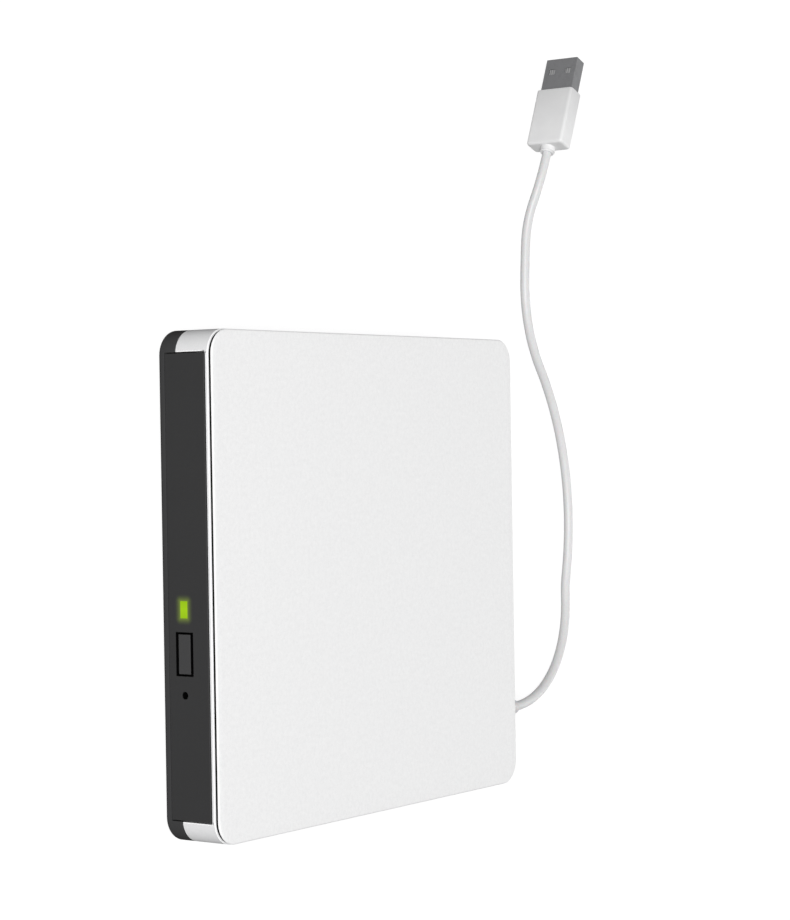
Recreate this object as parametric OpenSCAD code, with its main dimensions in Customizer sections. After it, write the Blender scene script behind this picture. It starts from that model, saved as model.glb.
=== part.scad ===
// External slim disc drive with a sliding tray, a telescopic rail pair, a pickup traverse and a fixed cord.
// The case lies flat: X runs to the right seen from the front, Y to the back, Z up, the feet stand on Z = 0.
// Every size is in millimetres.  Pieces that meet take their place from the same values.

/* [Disc and tray] */
// Diameter of the disc
disc_d = 120; // [112:0.5:124]
// Room round the disc in its well
well_gap = 0.7; // [0.4:0.1:1.5]
// Rim of the tray outside the well
rim_w = 0.8; // [0.6:0.1:2]
// Web between the bezel and the well
front_rim = 1.3; // [0.8:0.1:4]
// Depth of the well over its seat
well_depth = 2.4; // [1.6:0.1:2.8]
// Width of the seat ring at the well's edge
seat_w = 3; // [1.5:0.1:6]
// Relief under the data area
relief_depth = 0.4; // [0.2:0.1:0.8]
// Floor under the relief
tray_floor = 1.1; // [0.8:0.1:1.6]
// Chamfer of the tray's rear corners
tray_cut = 28; // [10:1:32]
// Wall of the tray's skirts
skirt_t = 1.6; // [1.2:0.1:2.2]
// Height of the skirts over the pan
skirt_lift = 0.8; // [0.7:0.1:1.2]
// Shield sheet under the tray
shield_t = 0.4; // [0.3:0.05:0.5]
// Stroke of the tray
tray_travel = 130; // [100:1:135]

/* [Slide rails] */
// Sheet of the steel rail
rail_t = 0.6; // [0.5:0.05:0.8]
// Height of the rail
rail_h = 3.4; // [3:0.1:4]
// Width of the rail
rail_w = 2.9; // [2.6:0.1:3.4]
// Running room over and under
run_gap = 0.2; // [0.12:0.02:0.3]
// Running room beside the webs
web_gap = 0.3; // [0.2:0.05:0.4]
// Lip of the guide
guide_lip = 0.7; // [0.6:0.05:0.9]
// Web of the guide
guide_web = 1.2; // [0.9:0.1:1.6]
// Room between guide and tray slab
slab_gap = 0.3; // [0.2:0.05:0.5]
// Room between rail and tray skirt
skirt_gap = 0.4; // [0.3:0.05:0.6]

/* [Drive can] */
// Sheet of the pan
pan_t = 0.6; // [0.5:0.05:0.8]
// Sheet of the lid
lid_t = 0.5; // [0.4:0.05:0.7]
// Free height inside
mech_h = 11.6; // [11.4:0.1:13]
// Room beside the tray slab
side_gap = 0.5; // [0.3:0.05:0.8]
// Fit of the lid over the pan
lid_fit = 0.1; // [0.05:0.05:0.2]
// Room behind the tray
rear_gap = 1.2; // [0.8:0.1:2]
// Room between bezel and can
can_gap = 0.5; // [0.3:0.05:1]
// Depth of the lid's skirt
lid_skirt = 3; // [2:0.1:4]

/* [Case] */
// Height of the feet
foot_h = 0.8; // [0.5:0.1:1.5]
// Radius of a foot
foot_r = 5; // [4:0.1:6]
// Feet in from the edges of the case
foot_in = 16; // [13:0.5:20]
// Sink of a foot in the shell
foot_sink = 0.5; // [0.3:0.05:0.8]
// Floor of the bottom shell
shell_floor = 1.8; // [1.5:0.1:2.4]
// Wall of both shells
shell_wall = 2; // [1.6:0.1:2.6]
// Height of the bottom shell
seam_h = 6.2; // [5.8:0.1:7]
// Ribs under the can
pad_h = 0.8; // [0.6:0.1:1.2]
// Sill under the bezel
sill_h = 0.6; // [0.3:0.05:0.7]
// Room beside the can
side_room = 4.8; // [4.6:0.1:8]
// Bay behind the can
rear_bay = 16.1; // [15.6:0.1:24]
// Plan radius of the corners
corner_r = 7; // [5:0.1:9]
// Rounding of the bottom edge
edge_r = 1.4; // [0.8:0.1:1.6]
// Foam over the can
foam_t = 1.4; // [1:0.1:2]
// Place of the foam strips from the middle
foam_x = 40; // [30:0.5:45]
// Width of a foam strip
foam_w = 12; // [8:0.5:16]
// Foam short of the can's ends
foam_end = 10; // [4:0.5:20]
// Deck of the frame
deck_t = 1.3; // [1.2:0.05:2]
// Chamfer of the frame's upper edge
frame_cut = 0.25; // [0.1:0.05:0.4]
// Adhesive under the cover
glue_t = 0.7; // [0.4:0.05:0.9]
// Inset of the adhesive
glue_inset = 0.3; // [0.15:0.05:0.6]
// Sheet of the top cover
cover_t = 0.5; // [0.4:0.05:1]
// Inset of the top cover
cover_inset = 0.1; // [0:0.05:0.3]
// Chamfer of the top cover
cover_cut = 0.3; // [0.1:0.05:0.4]
// Radius of the screw posts
post_r = 2.7; // [2.6:0.1:3]
// Radius of the screw shank
screw_r = 0.8; // [0.7:0.05:0.9]
// Radius of the screw head
head_r = 1.9; // [1.7:0.05:2]
// Thickness of the screw head
head_t = 1.2; // [1:0.05:1.3]
// Length of the screw shank
screw_l = 9.6; // [8:0.1:12]
// Fit of a screw in its hole
screw_fit = 0.05; // [0.03:0.01:0.08]

/* [Bezel] */
// Thickness of the bezel
bezel_t = 4; // [3.8:0.1:5]
// Overhang of the bezel past the can
bezel_over = 0.3; // [0.1:0.05:0.6]
// Gap round the bezel
bezel_gap = 0.25; // [0.2:0.05:0.4]
// Gap under the bezel
sill_gap = 0.12; // [0.1:0.02:0.3]
// Chamfer of the bezel's front edge
bezel_cut = 0.15; // [0.1:0.05:0.5]
// Height of the control row
control_z = 8.8; // [8.6:0.1:9.2]
// Place of the eject button
button_x = 18.2; // [16:0.1:20]
// Width of the button
button_w = 10.8; // [9:0.1:12]
// Height of the button
button_h = 4.1; // [3.8:0.1:4.6]
// Gap beside the button
button_gap_x = 0.6; // [0.3:0.05:0.8]
// Gap over and under the button
button_gap_z = 1.05; // [0.6:0.05:1.2]
// Stroke of the button
button_travel = 0.8; // [0.5:0.05:0.9]
// Skin in front of the button flange
bezel_skin = 2.5; // [2.2:0.1:2.7]
// Place of the light window
lamp_x = 6.1; // [4:0.1:8]
// Width of the light window
lamp_w = 4.6; // [3:0.1:5]
// Height of the light window
lamp_h = 2.4; // [2:0.1:2.6]
// Place of the release hole
pin_x = 29.4; // [28:0.1:32]
// Radius of the release hole
pin_r = 1.05; // [0.7:0.05:1.2]
// Close fit of fixed pieces
fit = 0.05; // [0.03:0.01:0.08]

/* [Traverse] */
// Bearing of the traverse from +X
trav_angle = 225; // [222:0.5:228]
// Sheet of the traverse plate
plate_t = 0.8; // [0.6:0.05:1]
// Gap between plate and tray
plate_drop = 0.7; // [0.6:0.05:0.9]
// Radius of the guide rods
rod_r = 1; // [0.8:0.05:1.1]
// Lateral place of the guide rods
rod_lat = 11; // [10.5:0.1:11.2]
// Drop of the rods under the plate
rod_drop = 1.4; // [1.3:0.05:1.6]
// Running fit of shafts
shaft_fit = 0.05; // [0.02:0.01:0.08]
// Inmost place of the lens
lens_in = 23; // [23:0.1:24]
// Stroke of the pickup
pickup_travel = 34; // [30:0.5:34]
// Pickup behind the lens
sled_back = 9.5; // [8:0.1:9.5]
// Pickup in front of the lens
sled_front = 6; // [5:0.1:6.2]
// Half width of the pickup
sled_hw = 13; // [12.8:0.1:13.2]
// Height of the pickup body
sled_h = 3.6; // [3.4:0.1:3.8]
// Pickup under the rod's axis
sled_under = 1.6; // [1.4:0.05:1.7]
// Cover sheet of the pickup
sled_cover_t = 0.4; // [0.3:0.05:0.5]
// Radius of the lens
lens_r = 2.2; // [1.8:0.1:2.5]
// Lateral place of the lead screw
lead_lat = 18.5; // [18:0.1:19]
// Radius of the lead screw
lead_r = 1.2; // [1:0.05:1.3]
// Radius of the lead screw's journals
journal_r = 0.55; // [0.45:0.05:0.6]
// Play between nut and lead screw
nut_gap = 0.15; // [0.1:0.05:0.3]
// Half width of the stepper
stepper_hw = 4; // [3.4:0.1:4.2]
// Length of the stepper
stepper_l = 12.4; // [10:0.1:12.6]
// Traverse plate behind the spindle
plate_back = 22; // [21:0.1:23]
// Half width of the traverse plate
plate_hw = 24; // [23.5:0.1:24.5]
// Outer end of the traverse plate
plate_end = 66.5; // [66:0.1:67]
// Cut corners of the traverse plate, along and across
plate_cut_a = [8.5, 9];
plate_cut_b = [13.5, 13];
// Radius of the rubber dampers
damper_r = 2.8; // [2.6:0.1:3]

/* [Spindle] */
// Radius of the motor shaft
shaft_r = 1; // [0.8:0.05:1.2]
// Radius of the rotor
rotor_r = 11.4; // [10.5:0.1:11.6]
// Radius of the motor base
base_r = 13; // [12.8:0.05:13.1]
// Sheet of the motor base
base_t = 0.8; // [0.6:0.05:1]
// Radius of the turntable
table_r = 12.6; // [11.5:0.1:13.5]
// Thickness of the turntable
table_t = 1.1; // [0.9:0.05:1.3]
// Thickness of the turntable pad
pad_t = 0.6; // [0.4:0.05:0.7]
// Radius of the disc hub
hub_r = 7.4; // [7.2:0.02:7.45]
// Height of the disc hub over the turntable
hub_h = 3; // [2.6:0.05:3.2]
// Reach of a clamp claw past the hub
claw_reach = 0.5; // [0.3:0.05:0.6]
// Width of a clamp claw
claw_w = 2.7; // [2.2:0.1:3]
// Play beside a clamp claw
claw_gap = 0.15; // [0.1:0.05:0.2]
// Stroke of a clamp claw
claw_travel = 0.6; // [0.4:0.05:0.65]

/* [Latch] */
// Place of the latch post
latch_x = -40; // [-42:0.5:-38]
// Distance of the latch post before the pan's rear wall
latch_back = 8.7; // [8:0.1:10]
// Radius of the latch post
latch_r = 1.3; // [1.1:0.05:1.5]
// Play between hook and post
latch_gap = 0.4; // [0.3:0.05:0.6]
// Turn of the latch from free to caught
latch_turn = 14; // [12:0.5:16]
// Arm from the pivot to the post
latch_arm = 20; // [18:0.5:22]
// Radius of the latch pivot
pivot_r = 1.2; // [1:0.05:1.4]

/* [Boards] */
// Thickness of the boards
board_t = 0.8; // [0.6:0.05:1]
// Lift of the drive board over the pan
board_lift = 0.8; // [0.6:0.05:0.9]
// Left and right end of the drive board
drive_x0 = -14; // [-20:0.5:-10]
drive_x1 = 54; // [52:0.5:56]
// Depth of the drive board
drive_l = 26; // [24:0.5:28]
// Drive board before the pan's rear wall
drive_back = 2.7; // [2.4:0.1:3.4]
// Drive chips: place on the board, width, depth, height
drive_ic = [[6, 5, 14, 14, 1.2], [26, 4, 9, 9, 1], [38, 5, 9, 6, 1]];
// Left and right end of the bridge board
bridge_x0 = -20; // [-24:0.5:-18]
bridge_x1 = 56; // [54:0.5:57]
// Bridge board short of the rear wall
bridge_back = 2; // [1.8:0.1:3]
// Bridge chips: place on the board, width, depth, height
bridge_ic = [[8, 2, 9, 9, 0.9], [1.5, 3, 4.5, 5, 1.5], [60.5, 2, 3.5, 2.5, 1.4]];
// Left and right end of the tray board
tray_bx0 = 2; // [1:0.5:3]
tray_bx1 = 54; // [52:0.5:55]
// Width of the tray board's long arm
tray_bw = 17; // [15:0.5:17]
// Front and back of the tray board from the disc's middle
tray_by0 = 59.6; // [59:0.1:60]
tray_by1 = 30; // [26:0.5:31]
// Depth of the tray board's front arm
tray_bd = 9.6; // [8:0.1:10]
// Width of the flex ribbon
flex_w = 12; // [10:0.1:13]
// Thickness of the flex ribbon
flex_t = 0.16; // [0.12:0.01:0.2]
// Middle of the flex ribbon
flex_x = 44; // [43:0.1:45]
// Lift of the bridge board over the floor
bridge_lift = 1.8; // [1.6:0.05:1.9]

/* [Cord] */
// Diameter of the cord
cord_d = 3; // [2.4:0.05:3.2]
// Place of the cord's way out
cord_x = 48.8; // [46:0.1:50]
// Length of the boot outside the case
boot_l = 19; // [14:0.5:22]
// Radius of the boot at the case
boot_r0 = 3.4; // [3:0.05:3.6]
// Radius of the boot at its tip
boot_r1 = 2.3; // [2:0.05:2.6]
// Radius of the boot's neck
neck_r = 2.4; // [2.2:0.05:2.6]
// First bend radius
bend1_r = 41.8; // [36:0.1:46]
// First bend angle
bend1_a = 78.1; // [70:0.1:84]
// Second bend radius
bend2_r = 87.4; // [80:0.1:95]
// Second bend angle
bend2_a = 48; // [42:0.1:54]
// Third bend radius
bend3_r = 46.2; // [42:0.1:54]
// Third bend angle
bend3_a = 38.1; // [32:0.1:44]
// Fourth bend radius
bend4_r = 199; // [150:1:240]
// Fourth bend angle
bend4_a = 3.8; // [1:0.1:6]
// Radius of the settling bend
settle_r = 60; // [50:1:80]
// Radius of the rise to the plug
rise_r = 40; // [34:1:50]
// Climb of the cord to the plug
rise_a = 20.1; // [15:0.1:22]
// Turn of the plug from the cord's last heading
plug_turn = 16; // [5:0.5:20]

/* [Plug] */
// Width of the plug's grip
grip_w = 13.8; // [13.4:0.1:16]
// Thickness of the plug's grip
grip_t = 6.6; // [6.2:0.1:8]
// Length of the plug's grip
grip_l = 20.5; // [18:0.1:24]
// Edge radius of the grip
grip_r = 1; // [0.6:0.1:2]
// Collar of the grip
collar_r = 2.5; // [2:0.1:3]
// Length of the collar
collar_l = 2.2; // [1.5:0.1:3]
// Width of the metal shell
usb_w = 12; // [11.8:0.05:12.2]
// Windows from the mouth of the metal shell
usb_win_x = 4.8; // [4:0.1:6]
// Windows from the middle of the metal shell
usb_win_z = 3.1; // [2.4:0.1:3.4]
// Thickness of the metal shell
usb_h = 4.5; // [4.4:0.05:4.6]
// Free length of the metal shell
usb_l = 11.8; // [11.5:0.05:12.5]
// Sheet of the metal shell
usb_t = 0.3; // [0.25:0.01:0.35]
// Metal shell inside the grip
usb_in = 6; // [5:0.1:7]

/* [Hidden] */
$fa = 6;
$fs = 0.4;
// Across: half widths from the middle
well_r = disc_d / 2 + well_gap;
slab_hw = well_r + rim_w;
pan_ix = slab_hw + side_gap;
pan_ox = pan_ix + pan_t;
lid_ix = pan_ox + lid_fit;
can_hw = lid_ix + lid_t;
case_ihw = can_hw + side_room;
case_hw = case_ihw + shell_wall;
bezel_hw = can_hw + bezel_over;
mouth_hw = bezel_hw + bezel_gap;
rail_ox = pan_ix - guide_web - web_gap;
rail_ix = rail_ox - rail_w;
guide_ix = rail_ix + web_gap;
skirt_ox = rail_ix - skirt_gap;
skirt_ix = skirt_ox - skirt_t;
tongue_ox = rail_ox - rail_t - web_gap;
// Along: from the front of the bezel to the back of the case
case_d = bezel_t + front_rim + 2 * well_r + rim_w + rear_gap + pan_t + lid_fit + lid_t + rear_bay
    + shell_wall;
y_front = -case_d / 2;
y_back = case_d / 2;
y_bez = y_front + bezel_t;
yc = y_bez + front_rim + well_r;
y_tray1 = yc + well_r + rim_w;
y_pan1 = y_tray1 + rear_gap;
y_lid1 = y_pan1 + pan_t + lid_fit;
latch_py = y_pan1 - latch_back;
y_can0 = y_bez + can_gap;
y_can1 = y_lid1 + lid_t;
y_ibk = y_back - shell_wall;
y_wall = y_bez + skirt_t;
rail_y0 = y_can0 + 0.3;
rail_y1 = y_tray1 - 3;
// Up: levels from the feet to the cover
z_floor0 = foot_h;
z_floor1 = z_floor0 + shell_floor;
z_sill = z_floor1 + sill_h;
z_seam = z_floor0 + seam_h;
z_pan0 = z_floor1 + pad_h;
z_pan1 = z_pan0 + pan_t;
z_lid0 = z_pan1 + mech_h;
z_lid1 = z_lid0 + lid_t;
z_deck0 = z_lid1 + foam_t;
z_deck1 = z_deck0 + deck_t;
z_cover0 = z_deck1 + glue_t;
z_top = z_cover0 + cover_t;
z_bez0 = z_sill + sill_gap;
z_bez1 = z_deck0 - bezel_gap;
z_rail0 = z_pan1 + guide_lip + run_gap;
z_rail1 = z_rail0 + rail_h;
z_guide1 = z_rail1 + run_gap + guide_lip;
z_tray0 = z_guide1 + slab_gap;
z_relief = z_tray0 + tray_floor;
z_seat = z_relief + relief_depth;
z_tray1 = z_seat + well_depth;
z_skirt0 = z_pan1 + skirt_lift;
z_tong0 = z_rail0 + rail_t + run_gap;
z_tong1 = z_rail1 - rail_t - run_gap;
// Traverse levels
z_pl1 = z_tray0 - plate_drop;
z_pl0 = z_pl1 - plate_t;
z_rod = z_pl0 - rod_drop;
z_sled0 = z_rod - sled_under;
z_sled1 = z_sled0 + sled_h;
z_shell1 = z_sled1 + sled_cover_t;
win_hw = sled_hw + 0.5;
win_end = lens_in + pickup_travel + sled_front + 0.4;
clip_l = 2.4;
clip_h = z_pl0 - z_rod + rod_r + 0.4;
rod_in = lens_in - sled_back - 0.3;
tab_t = 0.8;
stepper_x1 = lens_in - sled_back - 0.1;
screw_x1 = win_end - 3;
// Spindle levels
z_rotor1 = z_tray0 + 1;
z_table1 = z_rotor1 + table_t;
z_disc = z_table1 + pad_t;
z_hub1 = z_table1 + hub_h;
claw_z0 = z_disc + 0.45;
claw_z1 = z_hub1 - 0.55;
claw_back = hub_r - 2.9;
// Boards
z_db0 = z_pan1 + board_lift;
z_db1 = z_db0 + board_t;
z_bb0 = z_floor1 + bridge_lift;
z_bb1 = z_bb0 + board_t;
z_tb0 = z_tray0 - 1.1 - board_t;
z_tb1 = z_tb0 + board_t;
bay_y0 = y_can1 + 1.1;
db_y1 = y_pan1 - drive_back;
db_y0 = db_y1 - drive_l;
// Screw posts
post_fx = can_hw + 0.3 + post_r;
post_rx = case_ihw - 5;
post_fy = y_front + 10;
post_ry = y_ibk - 5;
posts = [[post_fx, post_fy], [-post_fx, post_fy], [post_rx, post_ry], [-post_rx, post_ry]];
z_head0 = z_floor0 + 0.4;
z_head1 = z_head0 + head_t;
feet = [for (sx = [-1, 1], sy = [-1, 1]) [sx * (case_hw - foot_in), sy * (case_d / 2 - foot_in)]];
dampers = [[-17, 17], [-17, -17], [50, -18.5]];
// Cord
cord_r = cord_d / 2;
cord_in = y_ibk - 6;
boot_y1 = y_back + boot_l;

// Colours
black = [0.13, 0.13, 0.14];
silver = [0.75, 0.76, 0.78];
white = [0.9, 0.9, 0.91];
steel = [0.62, 0.64, 0.66];
green = [0.1, 0.35, 0.2];
grey = [0.45, 0.45, 0.47];
rubber = [0.2, 0.2, 0.21];
brass = [0.8, 0.68, 0.35];

// Which piece to build

// Shared helpers

// A box between two corners
module span(a, b) {
    translate(a)
        cube(b - a);
}

// A plan with round corners
module plan(hw, hd, r) {
    square([2 * hw - 2 * r, 2 * hd], center = true);
    square([2 * hw, 2 * hd - 2 * r], center = true);
    for (sx = [-1, 1], sy = [-1, 1])
        translate([sx * (hw - r), sy * (hd - r)])
            circle(r, $fn = 48);
}

// The side of a rounded block, from its corner's axis outward
module flank(r, z0, z1, rb, ct) {
    polygon(concat([[0, z0], [r - rb, z0]], rb > 0 ? [[r - rb, z0 + rb], [r, z0 + rb]] : [],
        ct > 0 ? [[r, z1 - ct], [r - ct, z1]] : [[r, z1]], [[0, z1]]));
    if (rb > 0)
        translate([r - rb, z0 + rb])
            intersection() {
                circle(rb, $fn = 40);
                translate([0, -rb])
                    square(rb);
            }
}

// A block with round corners, a round lower edge and a chamfered upper edge
module round_block(hw, hd, z0, z1, r, rb, ct) {
    span([-hw + r, -hd + r, z0], [hw - r, hd - r, z1]);
    for (q = [0 : 3])
        translate([(q == 0 || q == 3 ? 1 : -1) * (hw - r), (q < 2 ? 1 : -1) * (hd - r), 0])
            rotate([0, 0, 90 * q])
                rotate_extrude(angle = 90, $fn = 64)
                    flank(r, z0, z1, rb, ct);
    for (s = [0, 1]) {
        mirror([0, s, 0])
            translate([-hw + r, hd - r, 0])
                rotate([90, 0, 90])
                    linear_extrude(2 * hw - 2 * r)
                        flank(r, z0, z1, rb, ct);
        mirror([s, 0, 0])
            translate([hw - r, hd - r, 0])
                rotate([90, 0, 0])
                    linear_extrude(2 * hd - 2 * r)
                        flank(r, z0, z1, rb, ct);
    }
}

// A cylinder along Y
module rod_y(r, y0, y1) {
    translate([0, y0, 0])
        rotate([-90, 0, 0])
            cylinder(r = r, h = y1 - y0, $fn = 36);
}

// A cylinder along X
module rod_x(r, x0, x1) {
    translate([x0, 0, 0])
        rotate([0, 90, 0])
            cylinder(r = r, h = x1 - x0, $fn = 36);
}

// The traverse's own frame: the disc's centre, X outward along the lens path
module on_traverse() {
    translate([0, yc, 0])
        rotate([0, 0, trav_angle])
            children();
}

// Case

module bottom_shell() {
    color(black)
        difference() {
            union() {
                difference() {
                    round_block(case_hw, case_d / 2, z_floor0, z_seam, corner_r, edge_r, 0);
                    translate([0, 0, z_floor1])
                        linear_extrude(seam_h)
                            plan(case_ihw, case_d / 2 - shell_wall, corner_r - shell_wall);
                    span([-mouth_hw, y_front - 1, z_sill],
                        [mouth_hw, y_front + shell_wall + 1, z_seam + 1]);
                }
                // Screw posts
                for (p = posts)
                    translate([p[0], p[1], z_floor1 - 0.2])
                        cylinder(r = post_r, h = z_seam - z_floor1 + 0.2, $fn = 40);
                // Ribs that carry the can
                for (s = [-1, 1])
                    span([s * 48 - 2, y_can0 + 4, z_floor1 - 0.2], [s * 48 + 2, y_can1 - 6, z_pan0]);
                // Stops beside and behind the can
                for (s = [-1, 1], y = [-30, 24])
                    translate([s * (can_hw + 0.15 + case_ihw + 0.2) / 2, y, (z_floor1 + z_seam - 0.2) / 2])
                        cube([case_ihw + 0.05 - can_hw, 8, z_seam - z_floor1 + 0.2], center = true);
                for (x = [-44, 60])
                    span([x - 3, y_can1 + 0.15, z_floor1 - 0.2], [x + 3, y_can1 + 1.9, z_seam]);
                // Posts under the bridge board
                for (x = [-16, 34, 53])
                    translate([x, bay_y0 + 3, z_floor1 - 0.2])
                        cylinder(r = 1.8, h = z_bb0 - z_floor1 + 0.2, $fn = 28);
            }
            for (p = posts)
                translate([p[0], p[1], 0]) {
                    translate([0, 0, z_floor0 - 1])
                        cylinder(r = head_r + 2 * screw_fit, h = z_head1 - z_floor0 + 1, $fn = 36);
                    cylinder(r = screw_r + 2 * screw_fit, h = z_seam + 1, $fn = 28);
                }
            for (p = feet)
                translate([p[0], p[1], z_floor0 - 1])
                    cylinder(r = foot_r + fit, h = 1 + foot_sink, $fn = 48);
            // Lower half of the cord's way out
            translate([cord_x, 0, z_seam])
                rod_y(neck_r + fit, y_ibk - 1, y_back + 1);
        }
}

module upper_frame() {
    color(silver)
        difference() {
            union() {
                difference() {
                    round_block(case_hw, case_d / 2, z_seam, z_deck1, corner_r, 0, frame_cut);
                    translate([0, 0, z_seam - 1])
                        linear_extrude(z_deck0 - z_seam + 1)
                            plan(case_ihw, case_d / 2 - shell_wall, corner_r - shell_wall);
                    span([-mouth_hw, y_front - 1, z_seam - 1],
                        [mouth_hw, y_front + shell_wall + 1, z_deck0]);
                }
                for (p = posts)
                    translate([p[0], p[1], z_seam])
                        cylinder(r = post_r - 0.1, h = z_deck0 - z_seam + 0.2, $fn = 40);
            }
            for (p = posts)
                translate([p[0], p[1], z_seam - 1])
                    cylinder(r = screw_r + screw_fit, h = z_head1 + screw_l - z_seam + 1.4, $fn = 28);
            // Upper half of the cord's way out
            translate([cord_x, 0, z_seam])
                rod_y(neck_r + fit, y_ibk - 1, y_back + 1);
        }
}

module cover_adhesive() {
    color(black)
        translate([0, 0, z_deck1])
            linear_extrude(glue_t)
                plan(case_hw - glue_inset, case_d / 2 - glue_inset, corner_r - glue_inset);
}

module top_cover() {
    color(white)
        round_block(case_hw - cover_inset, case_d / 2 - cover_inset, z_cover0, z_top,
            corner_r - cover_inset,
            0, cover_cut);
}

module rubber_feet() {
    color(rubber)
        for (p = feet)
            translate([p[0], p[1], 0])
                rotate_extrude($fn = 48)
                    polygon([[0, 0], [foot_r - 0.5, 0], [foot_r, 0.3], [foot_r, foot_h + foot_sink],
                        [0, foot_h + foot_sink]]);
}

module case_screws() {
    color(steel)
        for (p = posts)
            translate([p[0], p[1], 0])
                difference() {
                    union() {
                        translate([0, 0, z_head0])
                            cylinder(r = head_r, h = head_t, $fn = 36);
                        translate([0, 0, z_head0 + head_t / 2])
                            cylinder(r = screw_r, h = screw_l + head_t / 2, $fn = 28);
                    }
                    for (a = [0, 90])
                        rotate([0, 0, a])
                            translate([-head_r * 0.6, -0.25, z_head0 - 1])
                                cube([head_r * 1.2, 0.5, 1 + head_t / 2]);
                }
}

// Drive can

module drive_pan() {
    color(steel)
        difference() {
            union() {
                span([-pan_ox, y_can0, z_pan0], [pan_ox, y_pan1 + pan_t, z_pan1]);
                for (s = [0, 1])
                    mirror([s, 0, 0])
                        span([pan_ix, y_can0, z_pan0], [pan_ox, y_pan1 + pan_t, z_lid0]);
                span([-pan_ox, y_pan1, z_pan0], [pan_ox, y_pan1 + pan_t, z_lid0]);
                // Dimples that lift the drive board
                for (x = [-10, 50], y = [db_y0 + 4, db_y1 - 3])
                    translate([x, y, z_pan1 - 0.2])
                        cylinder(r = 1.6, h = board_lift + 0.2, $fn = 28);
            }
            // Window for the data plug
            span([2.4, y_pan1 - 1, z_db1 - 0.4], [37.6, y_pan1 + pan_t + 1, z_db1 + 3.9]);
            // Weight holes in the floor
            for (x = [-44, -22])
                translate([x, yc + 30, z_pan0 - 1])
                    cylinder(r = 5, h = pan_t + 2, $fn = 40);
        }
}

module drive_lid() {
    color(steel) {
        span([-can_hw, y_can0, z_lid0], [can_hw, y_can1, z_lid1]);
        for (s = [0, 1])
            mirror([s, 0, 0])
                span([lid_ix, y_can0, z_lid0 - lid_skirt], [can_hw, y_can1, z_lid1]);
        span([-can_hw, y_lid1, z_lid0 - lid_skirt], [can_hw, y_can1, z_lid1]);
    }
}

module foam_strips() {
    color(rubber)
        for (s = [-1, 1])
            span([s * foam_x - foam_w / 2, y_can0 + foam_end, z_lid1],
                [s * foam_x + foam_w / 2, y_can1 - foam_end, z_deck0]);
}

// One guide, drawn for the right side
module rail_guide() {
    translate([0, y_can0 + 0.4, 0])
        difference() {
            span([guide_ix, 0, z_pan1], [pan_ix, rail_y1 - y_can0 + 1, z_guide1]);
            span([guide_ix - 1, -1, z_rail0 - run_gap],
                [pan_ix - guide_web, rail_y1 - y_can0 - 0.2, z_rail1 + run_gap]);
        }
}

module rail_guide_left() {
    color(black)
        mirror([1, 0, 0])
            rail_guide();
}

module rail_guide_right() {
    color(black)
        rail_guide();
}

// One steel rail of C section, drawn for the right side
module slide_rail() {
    difference() {
        span([rail_ix, rail_y0, z_rail0], [rail_ox, rail_y1, z_rail1]);
        span([rail_ix - 1, rail_y0 - 1, z_rail0 + rail_t],
            [rail_ox - rail_t, rail_y1 + 1, z_rail1 - rail_t]);
    }
}

module slide_rail_left() {
    color(steel)
        mirror([1, 0, 0])
            slide_rail();
}

module slide_rail_right() {
    color(steel)
        slide_rail();
}

// Boards and ribbon

// One chip on a board whose corner is at o
module chip(o, c) {
    translate(o + [c[0], c[1], 0])
        cube([c[2], c[3], c[4]]);
}

module drive_board() {
    color(green)
        span([drive_x0, db_y0, z_db0], [drive_x1, db_y1, z_db1]);
}

module drive_chips() {
    color(black) {
        for (c = drive_ic)
            chip([drive_x0, db_y0, z_db1], c);
        // Ribbon socket with its slot
        difference() {
            span([flex_x - flex_w / 2 - 1, db_y0 + 0.3, z_db1],
                [flex_x + flex_w / 2 + 1, db_y0 + 4, z_db1 + 1.6]);
            span([flex_x - flex_w / 2 - 0.2, db_y0 - 1, z_db1 + 0.55],
                [flex_x + flex_w / 2 + 0.2, db_y0 + 3, z_db1 + 1.05]);
        }
    }
}

// Half the ribbon's thickness off its middle line, on one side
function off_line(p, s) = [for (i = [0 : len(p) - 1])
    let (a = p[max(i - 1, 0)], b = p[min(i + 1, len(p) - 1)],
        u = p[i] - a, w = b - p[i],
        d1 = norm(u) > 0 ? u / norm(u) : w / norm(w),
        d2 = norm(w) > 0 ? w / norm(w) : u / norm(u),
        m = d1 + d2, n = [-m[1], m[0]] / norm(m),
        k = s / max(0.5, sqrt((1 + d1 * d2) / 2)))
    p[i] + k * n];

flex_z0 = z_pan1 + flex_t / 2 + 0.06;
flex_z1 = z_tb0 - 1.6;
flex_fold = yc - 44;
flex_bend = (flex_z1 - flex_z0) / 2;
flex_line = concat(
    [[db_y0 + 2.8, z_db1 + 0.8], [db_y0 - 3, z_db1 + 0.8], [db_y0 - 7, flex_z0]],
    [for (a = [0 : 15 : 180]) [flex_fold - flex_bend * sin(a), flex_z0 + flex_bend * (1 - cos(a))]],
    [[yc + 27, flex_z1]]);

module flex_ribbon() {
    color(white)
        translate([flex_x - flex_w / 2, 0, 0])
            rotate([90, 0, 90])
                linear_extrude(flex_w)
                    polygon(concat(off_line(flex_line, flex_t / 2),
                        [for (i = [len(flex_line) - 1 : -1 : 0]) off_line(flex_line, -flex_t / 2)[i]]));
}

module latch_post() {
    color(steel)
        translate([latch_x, latch_py, z_pan1])
            union() {
                cylinder(r = latch_r + 1, h = 0.5, $fn = 36);
                cylinder(r = latch_r, h = 3.6, $fn = 32);
            }
}

module sata_plug() {
    color(black) {
        span([3, db_y1 - 5, z_db1], [37, y_pan1 - 0.3, z_db1 + 3.4]);
        span([5, y_pan1 - 1, z_db1 + 1], [35, y_pan1 + pan_t + lid_fit + lid_t + 4.4, z_db1 + 2.2]);
    }
}

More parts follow.
